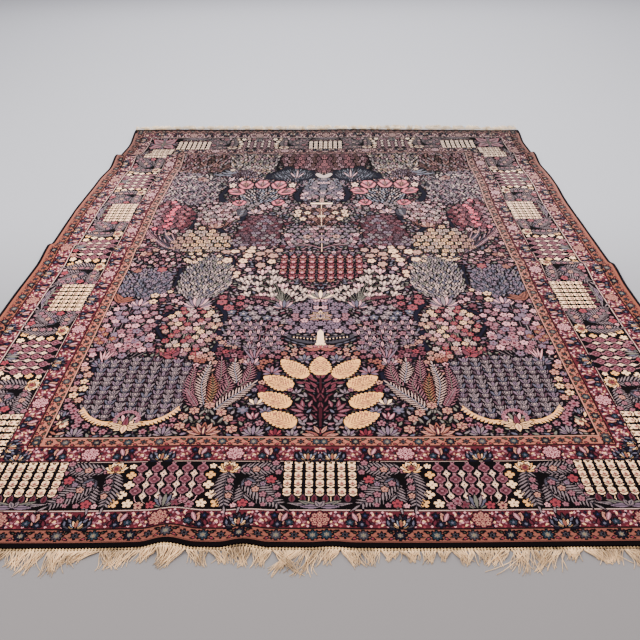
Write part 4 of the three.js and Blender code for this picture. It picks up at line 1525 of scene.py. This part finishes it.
# %% Looking up a knot's wool
def knot_wool(finish):
    """The colour of the wool at a point of the pile."""
    across, along = finish.split(finish.node("ShaderNodeUVMap", {"uv_map": "cell"})[0])[:2]
    last = KNOTS_A_FACE - 0.001
    across, along = across.within(0, last).floor(), along.within(0, last).floor()
    right = across.math("GREATER_THAN", RUN - 0.5)
    run, place = along * 2 + right, across - right * RUN
    number = None
    for card in range(4):
        colour, *_, alpha = finish.node("ShaderNodeAttribute", {"attribute_name": f"knots_{card}"})
        for channel, value in enumerate([*finish.node("ShaderNodeSeparateColor", inputs=(colour,)), alpha]):
            chosen = run.math("COMPARE", card * 4 + channel, 0.5) * value
            number = chosen if number is None else number + chosen
    shifted = ((number + 0.5) / float(DIGIT_BASE) ** place).floor()
    digit = shifted - (shifted / DIGIT_BASE).floor() * DIGIT_BASE
    stops = [(k / DIGIT_BASE, linear(dye)) for k, dye in enumerate(WOOLS.values())]
    return finish.node("ShaderNodeValToRGB", {"interpolation": "CONSTANT", "stops": stops},
        ((digit + 0.5) / DIGIT_BASE,))[0]


print("a run is a number below", DIGIT_BASE ** RUN)

# %% [markdown]
# Wool is never even: knots differ a little, and each batch of yarn leaves a faint band across the rug. Light
# is painted in as well: a painted sheen makes the pile lighter along the sides and its colours weaker towards
# the far end, and painted shade darkens both ends. The map called weave counts knots from the middle, so
# places are in knots.

# %% The wool pile
# Spans, in knots, of the painted sheen along the sides and of the painted shade at both ends.
PAINTED_SHEEN_SIDES, MIDDLE_LINE, PAINTED_SHEEN_START = (400, 700), 80, (-900, -100)
FAR_PAINTED_SHADE, NEAR_PAINTED_SHADE = (480, 660), (-640, -770)


def between(value, ends):
    """None at the first end, all of it from the second one on, and a straight blend between them."""
    return ((value - ends[0]) / (ends[1] - ends[0])).within(0, 1)


def pile_finish():
    finish = Finish("wool_pile", roughness=0.95, gloss=0.03)
    wool = knot_wool(finish)
    on_rug = finish.node("ShaderNodeUVMap", {"uv_map": "weave"})[0]
    u, v, _ = finish.split(on_rug)
    knot = finish.node("ShaderNodeCombineXYZ", inputs=(u.floor(), v.floor(), 0.0))[0]
    each = finish.node("ShaderNodeTexWhiteNoise", {"noise_dimensions": "2D"}, (knot,))[0]
    tufts = finish.noise(on_rug, 0.35, 3, 0.6)
    batches = finish.noise(finish.stretch(on_rug, (0.0012, 0.022, 1)), 1.0, 3, 0.6)
    worn = finish.noise(on_rug, 0.012, 3, 0.55)
    light = 0.68 + each * 0.2 + tufts * 0.24 + batches * 0.14 + worn * 0.12
    # Painted sheen: the pile is painted lighter along the sides, from the near end to the middle.
    painted_side_sheen = between((u - MIDDLE_LINE).math("ABSOLUTE"), PAINTED_SHEEN_SIDES) * between(v, PAINTED_SHEEN_START)
    # Painted shade: the pile is painted darker towards the far end and at the near end.
    light = light * (1 + painted_side_sheen * 0.4) * (1 - between(v, FAR_PAINTED_SHADE) * 0.43) * (1 - between(v, NEAR_PAINTED_SHADE) * 0.2)
    # Painted sheen: the colours are painted paler towards the far end.
    sheen_paled_colour = finish.node("ShaderNodeHueSaturation", {}, {
        "Saturation": (0.86 - v * 0.00026 + painted_side_sheen * 0.14).within(0.5, 1.0), "Color": wool})[0]
    shaded = finish.node("ShaderNodeVectorMath", {"operation": "SCALE"}, {0: sheen_paled_colour, "Scale": light})[0]
    finish.feed("Base Color", shaded)
    from_middle = [(place - place.floor() - 0.5).math("ABSOLUTE") for place in (u, v)]
    cut = from_middle[0].math("POWER", 2) + from_middle[1].math("POWER", 2)
    finish.bump(tufts * 0.8 - cut * 1.2 + each * 0.4, 0.0012, 0.5)
    return finish.material


# %% [markdown]
# Solidify gives the sheet its eight millimetres, and the baked map is laid out by hand: the pile takes
# nearly the whole square and the back and rim share a strip, because the pile is what is seen.

# %% Finish the carpet
def closed_carpet():
    thick = carpet.modifiers.new("thickness", "SOLIDIFY")
    thick.thickness = RUG_THICKNESS * MM
    thick.offset = -1
    pick(carpet)
    bpy.ops.object.modifier_apply(modifier=thick.name)
    points = coordinates(carpet.data)
    points[:, 2] = np.maximum(points[:, 2], 0)
    carpet.data.vertices.foreach_set("co", points.ravel())
    bpy.ops.object.shade_smooth_by_angle(angle=math.radians(40))
    carpet.data.materials.append(pile_finish())


closed_carpet()
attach(carpet, "root")
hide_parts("carpet")
print("triangles", sum(len(p.vertices) - 2 for p in carpet.data.polygons))

# %% [markdown]
# Bindings, webs and strands are all long bodies of one section. Such a body is given by rings of points,
# one after another, which are joined by four-sided faces and closed by a cap at both ends.

# %% Bodies from rings
def ring_faces(count, sides, base):
    """The faces between equal rings of points, with a cap at both ends."""
    index = np.arange(count * sides).reshape(count, sides) + base
    beside = np.roll(index, -1, 1)
    quads = np.stack((index[:-1], beside[:-1], beside[1:], index[1:]), 2).reshape(-1, 4)
    return quads.tolist() + [index[0, ::-1].tolist(), index[-1].tolist()]


def ringed(name, bodies, material):
    """One smooth object of closed bodies, each given by its rings of points in mm."""
    points, faces, base = [], [], 0
    for rings in bodies:
        faces += ring_faces(*rings.shape[:2], base)
        points.append(rings.reshape(-1, 3))
        base += len(points[-1])
    mesh = bpy.data.meshes.new(name)
    mesh.from_pydata((np.vstack(points) * MM).tolist(), [], faces)
    mesh.shade_smooth()
    mesh.materials.append(material)
    return add_to_scene(name, mesh)


def face_outwards(body):
    pick(body)
    bpy.ops.object.mode_set(mode="EDIT")
    bpy.ops.mesh.select_all(action="SELECT")
    bpy.ops.mesh.normals_make_consistent(inside=False)
    bpy.ops.object.mode_set(mode="OBJECT")


print("faces of a short strand:", len(ring_faces(3, 4, 0)))

# %% [markdown]
# Each long side is overcast: a thick wool yarn is wound round the outermost warps, turn beside turn. The
# cord is a swept half round, swelled at every turn, so its edge is ribbed from any side.

# %% Overcast bindings
TURN_PITCH, RINGS_A_TURN = 8, 3
TURNS = int(RUG_LENGTH / TURN_PITCH)
# the section: how far out and how far up, as shares of the binding's width and height
BINDING_SECTION = ((0, 0), (0.55, 0), (0.93, 0.16), (1, 0.5), (0.86, 0.83), (0.5, 1), (0, 0.97))


def binding(side):
    """The rings of one binding; its upper edge leans a little along the rug, as wound yarn does."""
    out, up = np.array(BINDING_SECTION).T
    y = np.linspace(-HALF_LENGTH, HALF_LENGTH, TURNS * RINGS_A_TURN + 1)[:, None]
    x = np.full_like(y, side * HALF_WIDTH)
    laid_x, laid_y = lay_out(x, y)
    swell = 0.9 + 0.1 * np.cos(2 * math.pi * y / TURN_PITCH) + 0.03 * np.sin(y / 37)
    return np.stack((laid_x + side * (PIECE_GAP + out * BINDING_WIDTH * swell), laid_y + side * out * 3,
        lift_at(x, y) + up * BINDING_HEIGHT * swell), 2)


def binding_finish():
    finish = Finish("overcast_wool", roughness=0.9, gloss=0.05)
    place = finish.node("ShaderNodeTexCoord")[3]
    _, y, _ = finish.split(place)
    turn = (y * (2000 * math.pi / TURN_PITCH)).math("COSINE")
    hairs = finish.noise(place, 420, 3, 0.65)
    worn = finish.noise(place, 6, 3, 0.6)
    # The crest of each turn is painted a little lighter than the groove beside it: painted shade.
    share = (turn * 0.14 + hairs * 0.6 + worn * 0.35 - 0.2).within(0, 1)
    finish.feed("Base Color", finish.mix(share, linear("0b080c"), linear("231e24")))
    finish.bump(turn * 0.5 + hairs, 0.0012, 0.6)
    return finish.material


overcast = binding_finish()
for name, side in (("left", -1), ("right", 1)):
    cord = ringed(f"overcast_{name}", [binding(side)], overcast)
    face_outwards(cord)
    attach(cord, "root")
    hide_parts(f"binding_{name}")
print("turns a side", TURNS)

# %% [markdown]
# The warps that run through the whole rug come out at its ends. First they hold a narrow flat web of cotton
# weft, where they are drawn together into a row of knotted heads. The web's edge is ragged, and each of its
# points keeps how far outwards it lies, for the painted shade in the slits between the heads.

# %% Webs
KNOT_PITCH, WEB_RINGS, TATTERS = 9.2, 1801, 280
WEB_SECTION = ((0, 0), (0, 0.95), (0.3, 0.8), (0.62, 1), (0.88, 0.75), (1, 0.4), (0.97, 0))


def web(end, thickness):
    """The rings of one web, swelled at every knotted head."""
    out, up = np.array(WEB_SECTION).T
    x = np.linspace(-HALF_WIDTH, HALF_WIDTH, WEB_RINGS)[:, None]
    edge = np.full_like(x, end * HALF_LENGTH)
    laid_x, laid_y = lay_out(x, edge)
    rng = np.random.default_rng(40 + end)
    ragged = np.interp(x, np.linspace(x[0, 0], x[-1, 0], TATTERS), rng.uniform(0.7, 1, TATTERS))
    head = 0.5 + 0.5 * np.cos(2 * math.pi * x / KNOT_PITCH)
    wide, high = WEB_WIDTH * ragged * (0.66 + 0.34 * head), thickness * (0.2 + 0.8 * head)
    return np.stack(np.broadcast_arrays(laid_x, laid_y + end * (PIECE_GAP + out * wide),
        lift_at(x, edge) + up * high), 2)


def keep_outward(mesh):
    outward = mesh.attributes.new("outward", "FLOAT", "POINT")
    section = [out for out, up in WEB_SECTION]
    outward.data.foreach_set("value", np.tile(section, len(mesh.vertices) // len(section)))


print("knotted heads at an end", round(RUG_WIDTH / KNOT_PITCH))

# %% [markdown]
# Beyond the web the warps are left loose, in bunches. A table says how the fringe lies along each end, and
# a strand is a thin body with four sides whose rings stand square to its path.

# %% How the fringe lies
# columns: x, length at the near end, its sideways pull, length at the far end, its pull
FRINGE_LAY = ((-1370, 66, 0.25, 62, 0.1), (-1180, 78, 0.5, 58, -0.15), (-960, 60, -0.35, 66, 0.2),
    (-760, 74, -0.15, 60, -0.1), (-560, 56, -0.5, 64, 0.15), (-380, 50, -0.2, 58, -0.2),
    (-200, 72, 0.35, 66, 0.1), (-40, 76, -0.3, 60, 0.25), (150, 48, 0.1, 64, -0.1), (380, 44, -0.15, 62, 0.2),
    (560, 66, -0.45, 56, -0.2), (760, 58, 0.2, 66, 0.1), (980, 62, 0.45, 60, -0.1), (1180, 74, -0.2, 62, 0.2),
    (1370, 60, -0.3, 60, 0))
HIGHEST_STRAND = 47


def strand(path, width):
    """Rings of a strand of cotton along a path (mm), thinner to its end."""
    along = np.gradient(path, axis=0)
    along /= np.linalg.norm(along, axis=1, keepdims=True)
    aside = np.cross(along, (0, 0, 1))
    aside /= np.linalg.norm(aside, axis=1, keepdims=True)
    above = np.cross(aside, along)
    size = width / 2 * np.linspace(1, 0.45, len(path))[:, None]
    corners = [math.radians(turn) for turn in (45, 135, 225, 315)]
    return np.stack([path + size * (math.cos(a) * aside + math.sin(a) * above) for a in corners], 1)


print("mean fringe", round(sum(row[1] for row in FRINGE_LAY) / len(FRINGE_LAY)), "mm at the near end")

# %% [markdown]
# Four strands start together at their knot, spread, wander and come to rest on the floor. All those of a
# lock are drawn towards its middle, apart from a few stray ones. At the far end, which stands a little
# off the floor, they hang over before they drop.

# %% The loose strands
STRANDS_A_KNOT = 4


def strand_path(rng, end, root, place, spread, middle, reach, pull):
    """Nine places along one strand, from the web to its tip."""
    stray = rng.random() < 0.12
    long = reach * rng.uniform(0.62, 1.12)
    gather = (middle - root) * (rng.uniform(0, 0.4) if stray else rng.uniform(0.55, 0.95))
    lean = pull + rng.normal(0, 0.3 if stray else 0.1)
    bend = rng.normal(0, 0.4 if stray else 0.16)
    start = place[0] + rng.uniform(-0.34, 0.34) * spread
    steps = np.linspace(0, 1, 9)
    drop = np.clip(steps * 3, 0, 1) if end < 0 else np.clip(steps - 0.6, 0, 0.4) / 0.5
    rise = rng.uniform(0.3, 6) if rng.random() < 0.7 else rng.uniform(6, 11)
    rise *= 1 if end < 0 else 1.8
    height = (place[2] + 2.2) * (1 - drop) + 1.6 + rise * np.sin(math.pi * np.clip(steps * 1.08, 0, 1))
    wander = rng.uniform(0.6, 2.6) * np.sin(rng.uniform(0, 6.28) + steps * rng.uniform(4, 10))
    x = start + long * (lean * steps + bend * steps ** 2) + gather * smooth(steps) + wander
    y = place[1] + end * (PIECE_GAP + WEB_WIDTH * 0.7 + long * steps * (1 - 0.15 * abs(lean)))
    return np.column_stack((x, y, np.minimum(height, HIGHEST_STRAND)))


def bunches(end, pitch, lock, seed):
    """All strands of one end, with pitch between their knots and lock between the locks' middles."""
    rng = np.random.default_rng(seed)
    locks = np.arange(-HALF_WIDTH, HALF_WIDTH + lock, lock)
    locks = locks + rng.uniform(-0.38, 0.38, len(locks)) * lock
    lock_reach, lock_pull = rng.uniform(0.66, 1.24, len(locks)), rng.normal(0, 0.26, len(locks))
    roots = np.arange(-HALF_WIDTH + pitch / 2, HALF_WIDTH, pitch)
    edge = np.full_like(roots, end * HALF_LENGTH)
    lift = lift_at(roots, edge) + (0 if end < 0 else RUG_THICKNESS)
    reach, pull = (table_value(FRINGE_LAY, roots, column) for column in ((1, 2) if end < 0 else (3, 4)))
    result = []
    for k, (root, *place) in enumerate(zip(roots, *lay_out(roots, edge), lift)):
        mine = int(np.argmin(np.abs(locks - root)))
        for _ in range(STRANDS_A_KNOT):
            path = strand_path(rng, end, root, place, pitch, locks[mine], reach[k] * lock_reach[mine],
                pull[k] + lock_pull[mine])
            result.append(strand(path, rng.uniform(2.5, 3.9)))
    return result


print("places on a strand", len(strand_path(np.random.default_rng(1), -1, 0, (0, 0, 0), 8, 0, 60, 0)))

# %% [markdown]
# Cotton is cream where it is clean. Trodden and swept, it greys in patches, and painted shade darkens the
# slits between the knotted heads of the web.

# %% Cotton
def cotton_finish(name, light, dark, ribbed=False):
    finish = Finish(name, roughness=0.9, gloss=0.05)
    place = finish.node("ShaderNodeTexCoord")[3]
    fibres = finish.noise(place, 700, 2, 0.6)
    soil = finish.noise(place, 14, 4, 0.65)
    share = (fibres * 0.5 + soil * 2.5 - 1.1).within(0, 1)
    if ribbed:
        x = finish.split(place)[0]
        # Painted shade in the slits between the knotted heads, on the web's outer part.
        slit_shade = 0.5 - (x * (2000 * math.pi / KNOT_PITCH)).math("COSINE") * 0.5
        outward = finish.node("ShaderNodeAttribute", {"attribute_name": "outward"})[2]
        share = (share + slit_shade.math("POWER", 1.2) * (outward * 4 - 1).within(0, 1)).within(0, 1)
    finish.feed("Base Color", finish.mix(share, linear(light), linear(dark)))
    finish.bump(fibres, 0.0006, 0.5)
    return finish.material


loose_cotton = cotton_finish("loose_cotton", "f0c493", "59493d")
clean_cotton = cotton_finish("clean_cotton", "fbe3c4", "a8937a")
# The web's dark serves both its soil and the painted shade between its heads.
knotted_cotton = cotton_finish("knotted_cotton", "f4c892", "1c1511", ribbed=True)
print("materials:", [material.name for material in bpy.data.materials])

# %% Hang the fringes
ends = [("near", -1, 8.6, 52, loose_cotton), ("far", 1, 7.5, 60, clean_cotton)]
for name, end, pitch, lock, cotton in ends:
    strip = ringed(f"web_{name}", [web(end, WEB_THICKNESS if end < 0 else RUG_THICKNESS + 3)], knotted_cotton)
    face_outwards(strip)
    keep_outward(strip.data)
    loose = ringed(f"fringe_{name}_strands", bunches(end, pitch, lock, 70 + end), cotton)
    for piece in (strip, loose):
        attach(piece, "root")
        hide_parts(f"fringe_{name}")
    print(name, "fringe faces", len(loose.data.polygons))

# %% [markdown]
# The studio: a pale floor that sweeps up into its own backdrop, one broad soft light overhead, and weaker
# ones from the front and behind. The floor is painted darker towards the camera, as painted shade. None of it
# belongs to the rug.

# %% Floor and lights
def sweep(name, width=60, depth=44, height=14, radius=6):
    profile = [(-depth / 2, 0), (depth / 2 - radius, 0)]
    for k in range(1, 13):
        a = math.pi / 2 * k / 12
        profile.append((depth / 2 - radius + radius * math.sin(a), radius - radius * math.cos(a)))
    profile.append((depth / 2, height))
    points = [(x, y, z) for y, z in profile for x in (-width / 2, width / 2)]
    faces = [(2 * k, 2 * k + 1, 2 * k + 3, 2 * k + 2) for k in range(len(profile) - 1)]
    mesh = bpy.data.meshes.new(name)
    mesh.from_pydata(points, [], faces)
    for face in mesh.polygons:
        face.use_smooth = True
    return add_to_scene(name, mesh)


def stage_finish():
    finish = Finish("studio_paper", roughness=0.8, gloss=0.1)
    _, y, _ = finish.split(finish.node("ShaderNodeTexCoord")[3])
    # Painted shade: the floor is painted darker towards the camera, fading to its own pale grey further back.
    stops = [(0, linear("6e6968")), (0.12, linear("716c6c")), (0.3, linear("a5a4a9")), (1, linear("b4b3b9"))]
    away = ((y + 3) / 12).within(0, 1)
    ramp = finish.node("ShaderNodeValToRGB", {"interpolation": "EASE", "stops": stops}, (away,))
    finish.feed("Base Color", ramp[0])
    return finish.material


def soft_light(name, place, target, size, power, colour=(1, 1, 1)):
    data = bpy.data.lights.new(name, "AREA")
    data.shape, data.size, data.size_y = "RECTANGLE", size[0], size[1]
    data.energy, data.color = power, colour
    light = add_to_scene(name, data)
    light.location = place
    light.rotation_euler = (Vector(target) - Vector(place)).to_track_quat("-Z", "Y").to_euler()


backdrop = sweep("studio_sweep")
backdrop.data.materials.append(stage_finish())
soft_light("overhead", (0, 0.6, 4.2), (0, 0, 0), (6, 6), 620)
soft_light("behind", (0, 7, 4), (0, 0, 0), (8, 3), 520, (0.97, 0.98, 1))
soft_light("front", (-1.5, -5, 3), (0, 0, 0), (4, 3), 190, (1, 0.98, 0.96))
world = bpy.data.worlds.new("studio_air")
world.use_nodes = True
world.node_tree.nodes["Background"].inputs["Color"].default_value = (0.78, 0.78, 0.8, 1)
world.node_tree.nodes["Background"].inputs["Strength"].default_value = 1.0
bpy.context.scene.world = world
